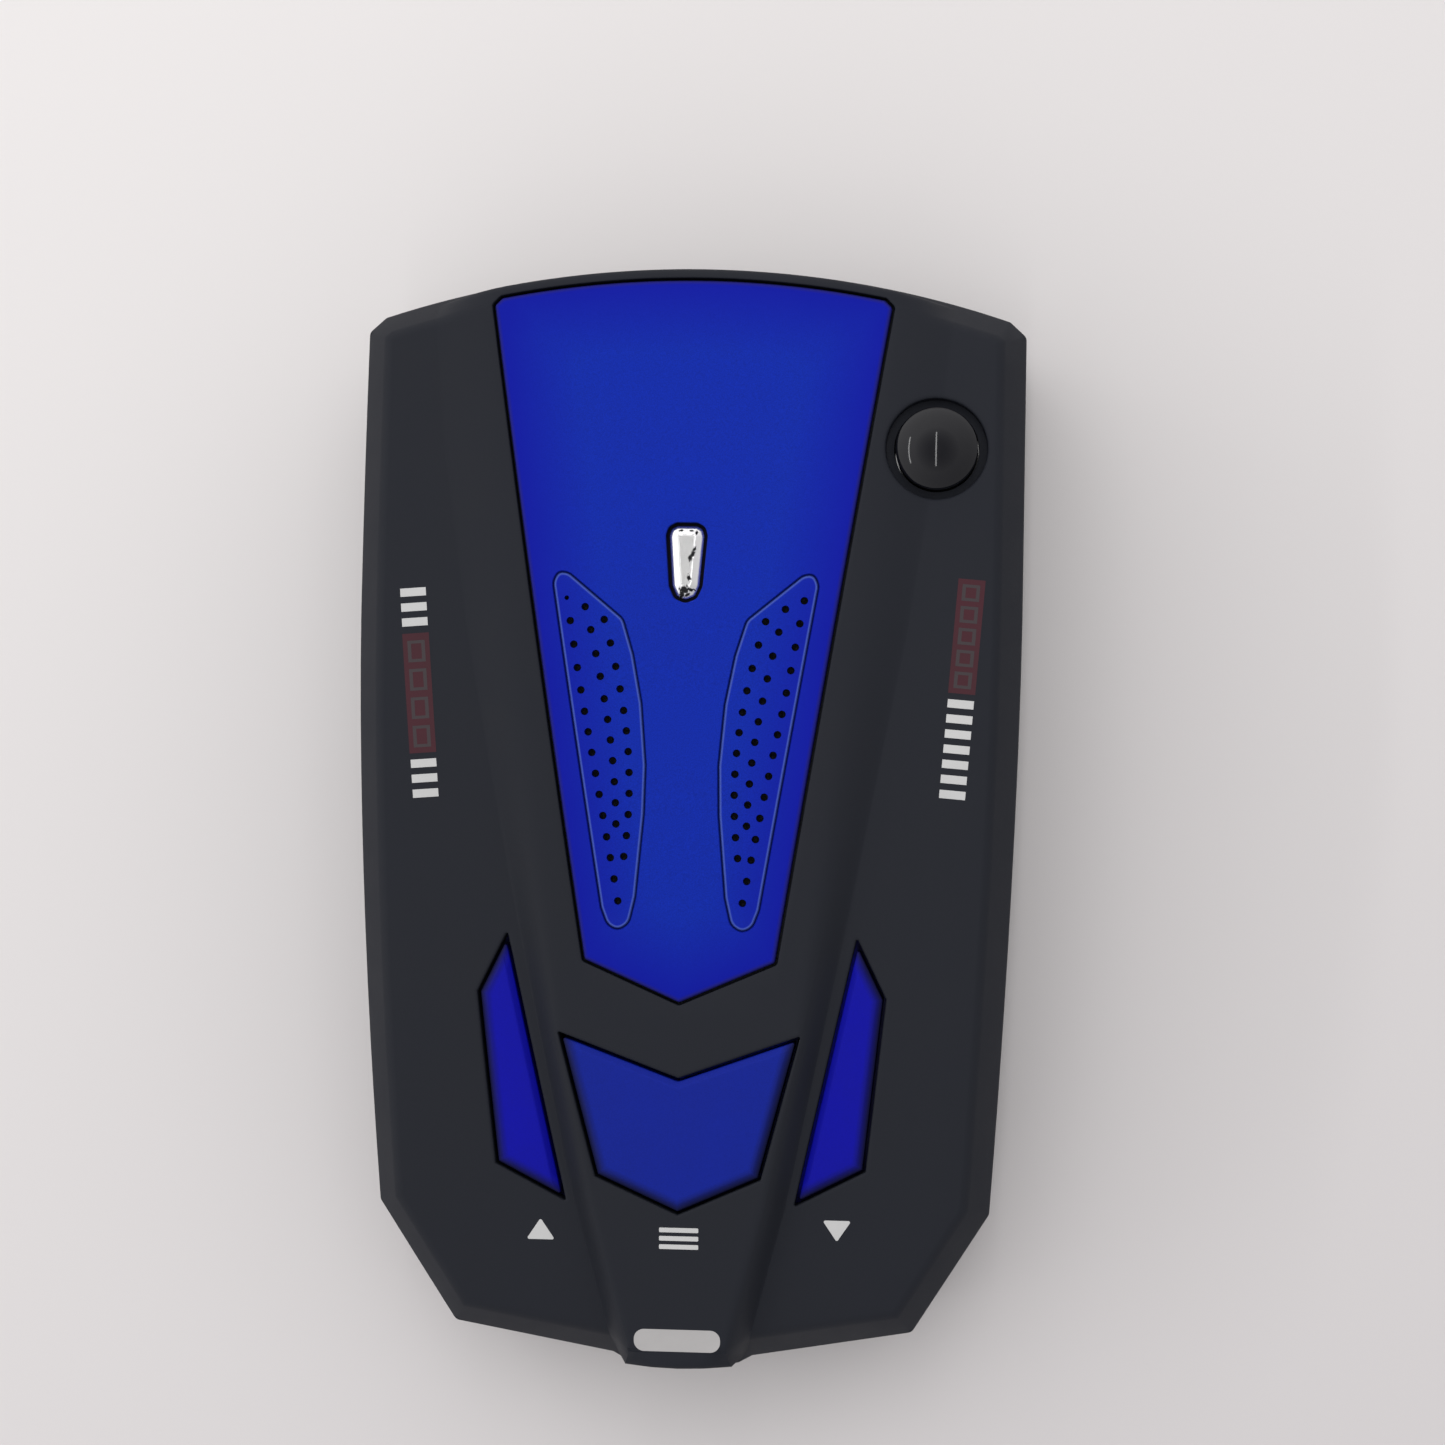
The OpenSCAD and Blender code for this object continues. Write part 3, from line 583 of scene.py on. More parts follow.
JEWEL_EDGE = rounded(BADGE, 0, BADGE_CORNER_R)
JEWEL_DROP = profile([(0, -3), (0, -0.38), (0.28, -0.2), (0.8, -0.01), (3, -0.01)], [0.06, 0.08, 0.1])
FACET_W = 1.0
rings = [rounded(BADGE, d, BADGE_CORNER_R) for d in [*JEWEL_DROP[0][1:-1], 0.92, FACET_W]]
jewel = slab("jewel", JEWEL_EDGE, rings, [],
             lambda pts: hood_z(pts[:, 1]) - BADGE_DROP + np.interp(distance(pts, JEWEL_EDGE), *JEWEL_DROP),
             lambda pts: hood_z(pts[:, 1]) - BADGE_RECESS, 0.4)
# Painted highlight: the inlay's bevelled sides are coloured pale, for the light reflected in them
set_attribute(jewel, "facet_highlight", np.clip((FACET_W - distance(plan(jewel), JEWEL_EDGE)) / 0.2, 0, 1))

# ---- the three keys ----

PLUNGER_TOP, STEM_R, HOOD_CLEARANCE = 21.9, 1.8, 2.3
MENU_STEM, DOWN_STEM, UP_STEM = (0.0, -30.5), (16.4, -25.5), (-16.4, -25.5)
KEY_DROP = profile([(0, -3), (0, -0.5), (0.62, -0.06), (4, 0)], [0.25, 0.5])


def clipped(points, window):
    """A polygon cut to a convex clockwise window."""
    for (x0, y0), (x1, y1) in zip(window, window[1:] + window[:1]):
        out = []
        side = [(x1 - x0) * (y - y0) - (y1 - y0) * (x - x0) for x, y in points]
        for i, (p, s) in enumerate(zip(points, side)):
            q, t = points[i - 1], side[i - 1]
            if (s > 0) != (t > 0):
                out.append(tuple(q[j] + (p[j] - q[j]) * t / (t - s) for j in (0, 1)))
            if s <= 0:
                out.append(p)
        points = out
    return points


def key(name, outline, surface, wall, stem, painted_shade_side, window=None):
    """A key cap with its retaining flange and stem, as one closed solid. The path after the stem gives the
    edges along which its colour takes painted shade, the shade on its rounded edges."""
    cap = rounded(outline, KEY_GAP, KEY_GAP + KEY_CORNER_R)
    flange = inset(outline, -KEY_FLANGE_W)
    if window:
        flange = clipped(flange, window)

    def top(pts):
        d = np.maximum(depth(pts, cap), 0)
        cap_top = surface(pts[:, 1]) + KEY_PROUD + np.interp(d, *KEY_DROP)
        return cap_top - pocket(d, wall + KEY_WALL_GAP)

    def bottom(pts):
        low = surface(pts[:, 1]) - wall - KEY_WALL_GAP - KEY_FLANGE_T
        s = np.maximum(reach(pts, stem) - STEM_R, 0)
        return low + (PLUNGER_TOP - low) * np.clip(1 - s / WALL_STEP, 0, 1)

    rings = [cap] + [rounded(outline, KEY_GAP + d, KEY_GAP + KEY_CORNER_R)
                     for d in [WALL_STEP, *KEY_DROP[0][1:-1], 1.2]]
    rings += [circle(stem, r, 24) for r in (STEM_R, STEM_R + WALL_STEP)]
    obj = slab(name, flange, rings, [], top, bottom, 1.5)
    # Distance from the edges that take painted shade
    set_attribute(obj, "rim", np.maximum(distance(plan(obj), painted_shade_side, closed=False) - KEY_GAP, 0))
    return obj


HOOD_SIDES = both_sides([(0, HOOD_RIDGE[0][1])] + HOOD_RIDGE)
# The menu key takes painted shade along its sides and its end toward the driver; the side keys take it along
# all but their inner edge
key_menu = key("key_menu", MENU, hood_z, HOOD_WALL, MENU_STEM, MENU[1:], inset(HOOD_SIDES, HOOD_CLEARANCE))
key_down = key("key_down", DOWN, deck_z, WALL, DOWN_STEM, DOWN)
key_up = key("key_up", UP, deck_z, WALL, UP_STEM, UP)

# ---- the laser dome and the feet ----


def arc_path(r, centre_z, from_deg, to_deg, steps):
    angles = [math.radians(from_deg + (to_deg - from_deg) * i / steps) for i in range(steps + 1)]
    return [(r * math.cos(a), centre_z + r * math.sin(a)) for a in angles]


# The dome's crown is a cap of this height, with a rounded shoulder
DOME_WALL, DOME_CROWN, DOME_SHOULDER = 1.1, 1.55, 0.3
ball_r = (DOME_R ** 2 + DOME_CROWN ** 2) / (2 * DOME_CROWN)
ball_z = DOME_TOP_Z - ball_r
dome_base = DOME_SEAT_Z - DOME_SEAL_T - DOME_FLANGE_T
foot_angle = math.degrees(math.acos(DOME_R / ball_r))
bore_r, under_r = DOME_R - DOME_WALL, ball_r - DOME_WALL
under = arc_path(under_r, ball_z, math.degrees(math.acos(bore_r / under_r)), 90, 14)
crown = arc_path(ball_r, ball_z, foot_angle, 90, 28)
wall_foot = (DOME_R, dome_base + DOME_FLANGE_T)
path = [(0, under[-1][1])] + list(reversed(under[:-1]))
path += [(bore_r, dome_base), (DOME_FLANGE_R, dome_base), (DOME_FLANGE_R, dome_base + DOME_FLANGE_T)]
path += [wall_foot] + corner_arc(wall_foot, crown[0], crown[3], DOME_SHOULDER, 5)
path += crown[3:-1] + [(0, DOME_TOP_Z)]
dome = lathe("dome", path, DOME_AT)

# A foot is dished a little underneath, so that it rests on a ring
FOOT_R, FEET_AT = 4.5, [(23, 31), (-23, 31), (20, -31), (-20, -31)]
path = [(0, 0.12), (2.6, 0.1), (3.4, 0.0), (3.9, 0.0), (4.25, 0.1), (4.43, 0.3), (FOOT_R, 0.6),
        (FOOT_R, FOOT_H), (0, FOOT_H)]
feet = [lathe(f"foot_{i + 1}", path, at, segments=48) for i, at in enumerate(FEET_AT)]

# ---- the volume wheel ----

RIDGES, RIDGE_DEPTH, RIM_R, RIM_BREAK = 40, 0.3, 0.25, 0.07
WHEEL_BORE_R, WHEEL_STEPS = 1.5, 240


def wheel_ring(r, z, ridge_depth=RIDGE_DEPTH):
    """One ring of the wheel, with ridges of this depth."""
    out = []
    for i in range(WHEEL_STEPS):
        a = 2 * math.pi * i / WHEEL_STEPS
        dip = ridge_depth * (0.5 - 0.5 * math.cos(a * RIDGES)) ** 1.5
        out.append((WHEEL_AT[0] + (r - dip) * math.cos(a), WHEEL_AT[1] + (r - dip) * math.sin(a), z))
    return out


points = wheel_ring(WHEEL_BORE_R, WHEEL_LOW, 0)
for in_r, up in ((RIM_R, 0), (RIM_BREAK, RIM_BREAK), (0, RIM_R)):
    points += wheel_ring(WHEEL_R - in_r, WHEEL_LOW + up)
for in_r, down in ((0, RIM_R), (RIM_BREAK, RIM_BREAK), (RIM_R, 0)):
    points += wheel_ring(WHEEL_R - in_r, WHEEL_HIGH - down)
points += wheel_ring(WHEEL_BORE_R, WHEEL_HIGH, 0)
rows = [range(first, first + WHEEL_STEPS) for first in range(0, len(points), WHEEL_STEPS)]
wheel = new_object("wheel", points, skin(rows + rows[:1]))

# ---- windows that follow the body's ends ----

WINDOW_INSET, WINDOW_T = 0.35, 1.55


def rim_bevel(obj, width_mm, segments, angle):
    bevel = obj.modifiers.new("rim", "BEVEL")
    bevel.width, bevel.segments = width_mm * MM, segments
    bevel.limit_method, bevel.angle_limit = "ANGLE", math.radians(angle)


def curved_window(name, path, low, high, steps=8):
    """A window whose face follows a plan path, with rounded rims."""
    p = np.array(path, float)
    step = np.gradient(p, axis=0)
    normal = np.stack([step[:, 1], -step[:, 0]], axis=1)
    normal /= np.linalg.norm(normal, axis=1)[:, None]
    zs = np.linspace(low, high, steps + 1)
    points, faces = [], []
    m = len(zs)
    for side in (0, WINDOW_T):
        for (x, y), (nx, ny) in zip(p, normal):
            points += [(x + nx * side, y + ny * side, z) for z in zs]
    n = len(p)

    def at(side, i, j):
        return side * n * m + i * m + j

    for i in range(n - 1):
        for j in range(m - 1):
            faces.append((at(0, i, j), at(0, i, j + 1), at(0, i + 1, j + 1), at(0, i + 1, j)))
            faces.append((at(1, i, j), at(1, i + 1, j), at(1, i + 1, j + 1), at(1, i, j + 1)))
        faces.append((at(0, i, 0), at(0, i + 1, 0), at(1, i + 1, 0), at(1, i, 0)))
        faces.append((at(0, i, m - 1), at(1, i, m - 1), at(1, i + 1, m - 1), at(0, i + 1, m - 1)))
    for j in range(m - 1):
        faces.append((at(0, 0, j), at(1, 0, j), at(1, 0, j + 1), at(0, 0, j + 1)))
        faces.append((at(0, n - 1, j), at(0, n - 1, j + 1), at(1, n - 1, j + 1), at(1, n - 1, j)))
    obj = new_object(name, points, faces)
    rim_bevel(obj, 0.3, 3, 50)
    return obj


def between(loop, x_limit, top):
    """The part of a clockwise loop at one end of the body, cut at |x| = x_limit, left to right."""
    xs, ys = zip(*sorted(p for p in loop if (p[1] > 0) == top))
    middle, end = [(x, float(np.interp(x, xs, ys))) for x in (0.0, x_limit)]
    right = [middle] + [(x, y) for x, y in zip(xs, ys) if 0 < x < x_limit] + [end]
    return [(-x, y) for x, y in reversed(right[1:])] + right


front_path = between(inset(BODY, WINDOW_INSET), FRONT_HALF_W, True)
window_front = curved_window("window_front", front_path, WINDOW_LOW, FRONT_HIGH)
tail_edge = rounded(BODY, WINDOW_INSET, BODY_CORNER_R)
tail_path = [(-x, y) for x, y in between(tail_edge, DISPLAY_HALF_W, False)]
window_display = curved_window("window_display", tail_path, WINDOW_LOW, DISPLAY_HIGH)

# ---- prints: plain symbols for what the keys do, and plain bars ----

INK_DEPTH = 0.03
INK_PROUD = {"ink_white": 0.015, "ink_silver": 0.015, "ink_red": 0.01, "ink_dark": 0.018}


def cornered(points):
    """A path of (x, y) or (x, y, radius) points with the corners rounded."""
    out = []
    for i, p in enumerate(points):
        q = points[(i + 1) % len(points)]
        out += corner_arc(points[i - 1][:2], p[:2], q[:2], p[2] if len(p) > 2 else 0.0, 8)
    return out


def merged(name, objs):
    """Joins the meshes of objects into one object."""
    points, faces = [], []
    for obj in objs:
        start = len(points)
        points += [tuple(c / MM for c in v.co) for v in obj.data.vertices]
        faces += [tuple(start + i for i in f.vertices) for f in obj.data.polygons]
        mesh = obj.data
        bpy.data.objects.remove(obj)
        bpy.data.meshes.remove(mesh)
    return new_object(name, points, faces)


def ink(name, shapes, proud):
    """A thin print on the cover from (outline, counter) shapes."""
    return merged(name, [
        slab(f"{name}_{i}", outline, [], [counter] if counter else [],
             lambda pts: smooth_top(pts) + proud, lambda pts: smooth_top(pts) - INK_DEPTH, 0.8)
        for i, (outline, counter) in enumerate(shapes)])


def symbol(centre, *outlines):
    """Plain outlines drawn about the origin, with rounded corners, moved to a place, as shapes."""
    return [([(centre[0] + x, centre[1] + y) for x, y in cornered(points)], None) for points in outlines]


def line_mark(half_w, half_h, radius, y=0.0):
    """A level line with rounded corners."""
    return [(-half_w, y - half_h, radius), (-half_w, y + half_h, radius),
            (half_w, y + half_h, radius), (half_w, y - half_h, radius)]


def along(top, bottom, shapes):
    """Places shapes drawn as (across, down) on the line from one point to another."""
    top, bottom = np.array(top), np.array(bottom)
    down = (bottom - top) / np.linalg.norm(bottom - top)
    right = np.array([-down[1], down[0]])

    def placed(points):
        out = [tuple(top + right * u + down * v) for u, v in points]
        area = sum(a[0] * b[1] - b[0] * a[1] for a, b in zip(out, out[1:] + out[:1]))
        return out if area < 0 else out[::-1]

    return [(placed(outline), placed(counter) if counter else None) for outline, counter in shapes]


def bar(v0, v1, half_w=1.25):
    return [(-half_w, v0), (half_w, v0), (half_w, v1), (-half_w, v1)]


def bars(first, count, pitch=1.45, thick=0.8):
    """Plain bars in an even row."""
    return [(bar(first + pitch * i, first + pitch * i + thick), None) for i in range(count)]


def cells(first, pitch, count, tall):
    """Plain hollow cells in an even row."""
    starts = [first + pitch * i for i in range(count)]
    return [(bar(v, v + tall, 0.85), bar(v + CELL_LINE, v + tall - CELL_LINE, 0.5)) for v in starts]


# An arrowhead each way for the side keys, three lines for the menu key, and a rounded bar on the tail
ARROW_W, ARROW_H, TIP_R = 1.4, 1.05, 0.15
ARROW_UP = [(-ARROW_W, -ARROW_H, TIP_R), (0, ARROW_H, TIP_R), (ARROW_W, -ARROW_H, TIP_R)]
ARROW_DOWN = [(-ARROW_W, ARROW_H, TIP_R), (ARROW_W, ARROW_H, TIP_R), (0, -ARROW_H, TIP_R)]
MENU_LINES = [line_mark(1.9, 0.23, 0.1, y) for y in (0.82, 0, -0.82)]
# Rows of bars on the side decks, each on a line from its windshield end to its driver's end, with a red
# block of cells in it
LEFT_LINE, RIGHT_LINE = ((-26.62, 21.9), (-24.95, 1.4)), ((27.4, 23.4), (25.8, 2.3))
BLOCK_HALF_W, CELL_LINE = 1.3, 0.3
PRINTS = [
    ("print_up", "ink_white", symbol((-13.6, -40.2), ARROW_UP)),
    ("print_down", "ink_white", symbol((15.3, -39.7), ARROW_DOWN)),
    ("print_menu", "ink_white", symbol((0.15, -40.5), *MENU_LINES)),
    ("print_tail_mark", "ink_silver", symbol((0, -50.6), line_mark(4.2, 1.1, 1.0))),
    ("print_bars_left", "ink_white", along(*LEFT_LINE, bars(0, 3) + bars(16.6, 3))),
    ("print_bars_right", "ink_white", along(*RIGHT_LINE, bars(11.6, 7))),
    ("print_block_left", "ink_red", along(*LEFT_LINE, [(bar(4.4, 16.0, BLOCK_HALF_W), None)])),
    ("print_block_right", "ink_red", along(*RIGHT_LINE, [(bar(0, 11.0, BLOCK_HALF_W), None)])),
    ("print_cells_left", "ink_dark", along(*LEFT_LINE, cells(5.1, 2.75, 4, 2.1))),
    ("print_cells_right", "ink_dark", along(*RIGHT_LINE, cells(0.5, 2.1, 5, 1.6))),
]
prints = [(ink(name, shapes, INK_PROUD[look]), look) for name, look, shapes in PRINTS]

# ---- materials ----

MATERIALS = {}
BLOTCH_PER_MM = 0.15


def nodes_of(name):
    """A new material's node tree, its shader and the object's coordinates."""
    mat = MATERIALS[name] = bpy.data.materials.new(name)
    mat.use_nodes = True
    tree = mat.node_tree
    shader = tree.nodes["Principled BSDF"]
    place = tree.nodes.new("ShaderNodeTexCoord").outputs["Object"]
    return tree, shader, place


def noise(tree, place, per_mm, detail=2.0, rough=0.5, stretch=(1, 1, 1)):
    """A noise whose features are about 1/per_mm millimetres."""
    mapping = tree.nodes.new("ShaderNodeMapping")
    mapping.inputs["Scale"].default_value = [c * per_mm / MM for c in stretch]
    tree.links.new(place, mapping.inputs["Vector"])
    node = tree.nodes.new("ShaderNodeTexNoise")
    node.inputs["Scale"].default_value = 1.0
    node.inputs["Detail"].default_value = detail
    node.inputs["Roughness"].default_value = rough
    tree.links.new(mapping.outputs["Vector"], node.inputs["Vector"])
    return node.outputs["Fac"]


def ramp(tree, value, low, high, to_low=0.0, to_high=1.0):
    node = tree.nodes.new("ShaderNodeMapRange")
    node.inputs["From Min"].default_value, node.inputs["From Max"].default_value = low, high
    node.inputs["To Min"].default_value, node.inputs["To Max"].default_value = to_low, to_high
    tree.links.new(value, node.inputs["Value"])
    return node.outputs["Result"]


def mixed(tree, factor, a, b):
    """A colour between a and b, each a colour or a socket."""
    node = tree.nodes.new("ShaderNodeMix")
    node.data_type = "RGBA"
    for socket, value in ((node.inputs[0], factor), (node.inputs[6], a), (node.inputs[7], b)):
        if isinstance(value, bpy.types.NodeSocket):
            tree.links.new(value, socket)
        elif isinstance(value, tuple):
            socket.default_value = (*value, 1)
        else:
            socket.default_value = value
    return node.outputs[2]


def maths(tree, operation, a, b):
    node = tree.nodes.new("ShaderNodeMath")
    node.operation = operation
    tree.links.new(a, node.inputs[0])
    tree.links.new(b, node.inputs[1])
    return node.outputs[0]


def along_axis(tree, place, direction):
    """How far a place is along a direction."""
    node = tree.nodes.new("ShaderNodeVectorMath")
    node.operation = "DOT_PRODUCT"
    node.inputs[1].default_value = direction
    tree.links.new(place, node.inputs[0])
    return node.outputs["Value"]


def bumped(tree, height, shader, tall_mm):
    node = tree.nodes.new("ShaderNodeBump")
    node.inputs["Distance"].default_value = tall_mm * MM
    tree.links.new(height, node.inputs["Height"])
    tree.links.new(node.outputs["Normal"], shader.inputs["Normal"])


def attribute(tree, name):
    node = tree.nodes.new("ShaderNodeAttribute")
    node.attribute_name = name
    return node.outputs["Fac"]


def scaled(colour, k):
    return tuple(min(1.0, c * k) for c in colour)


def finish(name, colour, rough, grain_per_mm, grain_mm, vary=0.15, rough_vary=0.08, specular=0.5,
           metallic=0.0, coat=0.0, stretch=(1, 1, 1), speckle=0.0, rim=None, rim_w=0.8,
           painted_sheen_edge=None, painted_sheen_w=6.0, lines=()):
    """A moulded, painted or metal surface: fine grain, slow colour drift, uneven gloss and speckle, and
    painted
    light and shade: painted shade or highlight along chosen edges, a painted sheen that gives way to another
    colour toward its edges, and painted shade or highlight along lines."""
    tree, shader, place = nodes_of(name)
    blotch = noise(tree, place, BLOTCH_PER_MM, 4.0, 0.6)
    grain = noise(tree, place, grain_per_mm, 3.0, 0.6, stretch)
    base = mixed(tree, ramp(tree, blotch, 0.3, 0.7), scaled(colour, 1 - vary), scaled(colour, 1 + vary))
    if speckle:
        flake = noise(tree, place, grain_per_mm * 0.9, 2.0, 0.7)
        base = mixed(tree, ramp(tree, flake, 0.35, 0.65, 0.0, speckle), base, scaled(colour, 2.2))
    # Painted sheen: toward the edges the colour turns to another, so the middle looks as if a sheen lies on
    # it
    if painted_sheen_edge:
        base = mixed(tree, ramp(tree, attribute(tree, "rim"), 0, painted_sheen_w), painted_sheen_edge, base)
    # Painted shade or painted highlight along chosen edges
    if rim:
        base = mixed(tree, ramp(tree, attribute(tree, "rim"), 0.1, rim_w), rim, base)
    # Painted shade and painted highlight along lines
    for layer, tint in lines:
        base = mixed(tree, attribute(tree, layer), base, tint)
    tree.links.new(base, shader.inputs["Base Color"])
    gloss = ramp(tree, blotch, 0.3, 0.7, rough - rough_vary, rough + rough_vary)
    tree.links.new(gloss, shader.inputs["Roughness"])
    bumped(tree, grain, shader, grain_mm)
    shader.inputs["Specular IOR Level"].default_value = specular
    shader.inputs["Metallic"].default_value = metallic
    shader.inputs["Coat Weight"].default_value = coat


JEWEL_MID = (0.0, 24.6)
# Flakes: centre from the inlay's middle, half-size along X and Y, and lean
FLAKES = [
    ((0.62, 0.85), (0.17, 0.62), -22), ((0.4, 0.42), (0.22, 0.24), 0), ((0.3, -1.45), (0.17, 0.3), 20),
    ((-0.15, -2.6), (0.42, 0.34), 0), ((-0.35, -3.05), (0.24, 0.42), -15), ((0.55, -2.6), (0.32, 0.16), 0),
    ((0.15, -3.1), (0.3, 0.14), 30), ((-0.55, 3.1), (0.22, 0.09), 10), ((0.45, 3.1), (0.2, 0.08), 0),
    ((0.95, 2.9), (0.13, 0.2), 0)]


def worn_chrome():
    """Plated plastic whose plating has flaked off in a few places, showing black."""
    tree, shader, place = nodes_of("worn_chrome")
    fine = noise(tree, place, 2.5, 3.0, 0.6)
    edge = noise(tree, place, 5.0, 3.0, 0.7)
    bare = None
    for (x, y), (a, b), lean in FLAKES:
        mapping = tree.nodes.new("ShaderNodeMapping")
        mapping.vector_type = "TEXTURE"
        mapping.inputs["Location"].default_value = ((x + JEWEL_MID[0]) * MM, (y + JEWEL_MID[1]) * MM, 0)
        mapping.inputs["Rotation"].default_value = (0, 0, math.radians(lean))
        mapping.inputs["Scale"].default_value = (a * MM, b * MM, 1)
        tree.links.new(place, mapping.inputs["Vector"])
        size = tree.nodes.new("ShaderNodeVectorMath")
        size.operation = "LENGTH"
        tree.links.new(mapping.outputs["Vector"], size.inputs[0])
        ragged = maths(tree, "ADD", size.outputs["Value"], ramp(tree, edge, 0.25, 0.75, -0.7, 0.7))
        spot = ramp(tree, ragged, 0.9, 1.1, 1.0, 0.0)
        bare = spot if bare is None else maths(tree, "MAXIMUM", bare, spot)
    plating = mixed(tree, fine, (0.41, 0.41, 0.41), (0.46, 0.46, 0.455))
    # A painted highlight colours the bevelled sides pale
    plating = mixed(tree, attribute(tree, "facet_highlight"), plating, (0.86, 0.86, 0.87))
    tree.links.new(mixed(tree, bare, plating, (0.01, 0.01, 0.011)), shader.inputs["Base Color"])
    tree.links.new(ramp(tree, bare, 0, 1, 1.0, 0.0), shader.inputs["Metallic"])
    tree.links.new(ramp(tree, bare, 0, 1, 0.26, 0.6), shader.inputs["Roughness"])
    bumped(tree, ramp(tree, bare, 0, 1, 1.0, 0.0), shader, 0.02)
    shader.inputs["Specular IOR Level"].default_value = 0.12


def circuit_board(name, mask):
    """Solder mask over faint copper tracks, with small tinned pads."""
    tree, shader, place = nodes_of(name)
    tracks = tree.nodes.new("ShaderNodeTexBrick")
    tracks.inputs["Scale"].default_value = 0.35 / MM
    tracks.inputs["Mortar Size"].default_value = 0.03
    tracks.inputs["Color1"].default_value = (*mask, 1)
    tracks.inputs["Color2"].default_value = (*scaled(mask, 0.8), 1)
    tracks.inputs["Mortar"].default_value = (*scaled(mask, 1.7), 1)
    tree.links.new(place, tracks.inputs["Vector"])
    pads = tree.nodes.new("ShaderNodeTexVoronoi")
    pads.inputs["Scale"].default_value = 0.35 / MM
    tree.links.new(place, pads.inputs["Vector"])
    pad = ramp(tree, pads.outputs["Distance"], 0.12, 0.15, 1.0, 0.0)
    tree.links.new(mixed(tree, pad, tracks.outputs["Color"], (0.6, 0.58, 0.52)), shader.inputs["Base Color"])
    tree.links.new(pad, shader.inputs["Metallic"])
    tree.links.new(ramp(tree, noise(tree, place, 0.5), 0.3, 0.7, 0.25, 0.4), shader.inputs["Roughness"])
    bumped(tree, tracks.outputs["Fac"], shader, 0.03)


def cloth(name, colour):
    """A close-woven acoustic cloth."""
    tree, shader, place = nodes_of(name)
    threads = []
    for direction in ("X", "Y"):
        wave = tree.nodes.new("ShaderNodeTexWave")
        wave.bands_direction = direction
        wave.inputs["Scale"].default_value = 0.6 / MM
        wave.inputs["Distortion"].default_value = 0.4
        tree.links.new(place, wave.inputs["Vector"])
        threads.append(wave.outputs["Fac"])
    weave = maths(tree, "MULTIPLY", *threads)
    tree.links.new(mixed(tree, weave, scaled(colour, 0.5), scaled(colour, 1.4)), shader.inputs["Base Color"])
    shader.inputs["Roughness"].default_value = 0.95
    bumped(tree, weave, shader, 0.05)


SHELL = (0.0097, 0.0112, 0.0165)
finish("black_shell", SHELL, 0.62, 7.0, 0.012, vary=0.04, rough_vary=0.04, specular=0.2)
finish("black_base", scaled(SHELL, 0.95), 0.66, 5.0, 0.03, vary=0.08, specular=0.25)
# The blue panel's colour holds painted light: a greyer painted highlight along its rounded edge, and a deeper
# blue toward its edges that leaves a painted sheen on its greener middle
finish("blue_panel", (0.002, 0.0155, 0.26), 0.5, 9.0, 0.006, vary=0.05, rough_vary=0.04,
       specular=0.12, metallic=0.35, speckle=0.35,
       rim=(0.012, 0.012, 0.15), rim_w=0.45, painted_sheen_edge=(0.002, 0.006, 0.29), painted_sheen_w=7.0,
       # Painted shade in the engraved line round each field of holes, and a painted highlight on its inner
       # lip
       lines=[("groove_shade", (0.001, 0.003, 0.03)), ("groove_lip_highlight", (0.06, 0.1, 0.4)),
              # Painted shade in the badge's pocket
              ("pocket", (0.0006, 0.0006, 0.006))])
# The keys' colour darkens toward their edges: painted shade on their rounded edges
finish("blue_key", (0.0015, 0.0018, 0.275), 0.55, 8.0, 0.005, vary=0.06, rough_vary=0.05,
       specular=0.15, metallic=0.2, speckle=0.12, rim=(0.003, 0.003, 0.03), rim_w=1.15)
worn_chrome()
MATERIALS["badge_chrome"] = MATERIALS["worn_chrome"]
finish("dome_black", (0.004, 0.0042, 0.0065), 0.06, 1.2, 0.001, vary=0.15, rough_vary=0.02,
       specular=0.34)
finish("window_red", (0.035, 0.003, 0.005), 0.1, 1.5, 0.001, vary=0.2, rough_vary=0.04, specular=0.35)
finish("window_smoke", (0.01, 0.006, 0.008), 0.09, 1.5, 0.001, vary=0.2, rough_vary=0.04, specular=0.3)
finish("foot_rubber", (0.018, 0.018, 0.019), 0.85, 4.0, 0.05, vary=0.2, specular=0.3)
finish("wheel_black", (0.02, 0.02, 0.022), 0.5, 6.0, 0.015, vary=0.1)
finish("blank_label", (0.5, 0.5, 0.49), 0.35, 3.0, 0.01, vary=0.04, specular=0.4,
       stretch=(0.05, 1, 1))
finish("screw_steel", (0.42, 0.41, 0.4), 0.32, 5.0, 0.01, metallic=1.0, stretch=(1, 0.2, 1))
cloth("speaker_cloth", (0.012, 0.012, 0.014))
finish("switch_plastic", (0.03, 0.03, 0.032), 0.5, 4.0, 0.01)
finish("switch_steel", (0.55, 0.54, 0.52), 0.3, 5.0, 0.008, metallic=1.0)
circuit_board("board_green", (0.012, 0.075, 0.03))
finish("ribbon_film", (0.7, 0.68, 0.6), 0.4, 2.0, 0.03, stretch=(1, 0.02, 0.02))
finish("seal_rubber", (0.02, 0.02, 0.02), 0.8, 4.0, 0.04, specular=0.3)
finish("inner_plastic", (0.05, 0.05, 0.052), 0.55, 3.0, 0.02)
finish("sensor_resin", (0.03, 0.012, 0.014), 0.12, 2.0, 0.002, coat=0.5)
finish("lens_red", (0.25, 0.01, 0.012), 0.08, 2.0, 0.001, coat=0.8)
finish("diode_can", (0.75, 0.62, 0.35), 0.25, 5.0, 0.006, metallic=1.0)
finish("horn_alloy", (0.5, 0.5, 0.51), 0.42, 2.5, 0.05, metallic=1.0)
circuit_board("board_pale", (0.3, 0.26, 0.16))
finish("shield_tin", (0.6, 0.6, 0.58), 0.36, 2.0, 0.02, metallic=1.0, stretch=(0.1, 1, 1))
finish("chip_black", (0.02, 0.02, 0.021), 0.6, 8.0, 0.012)
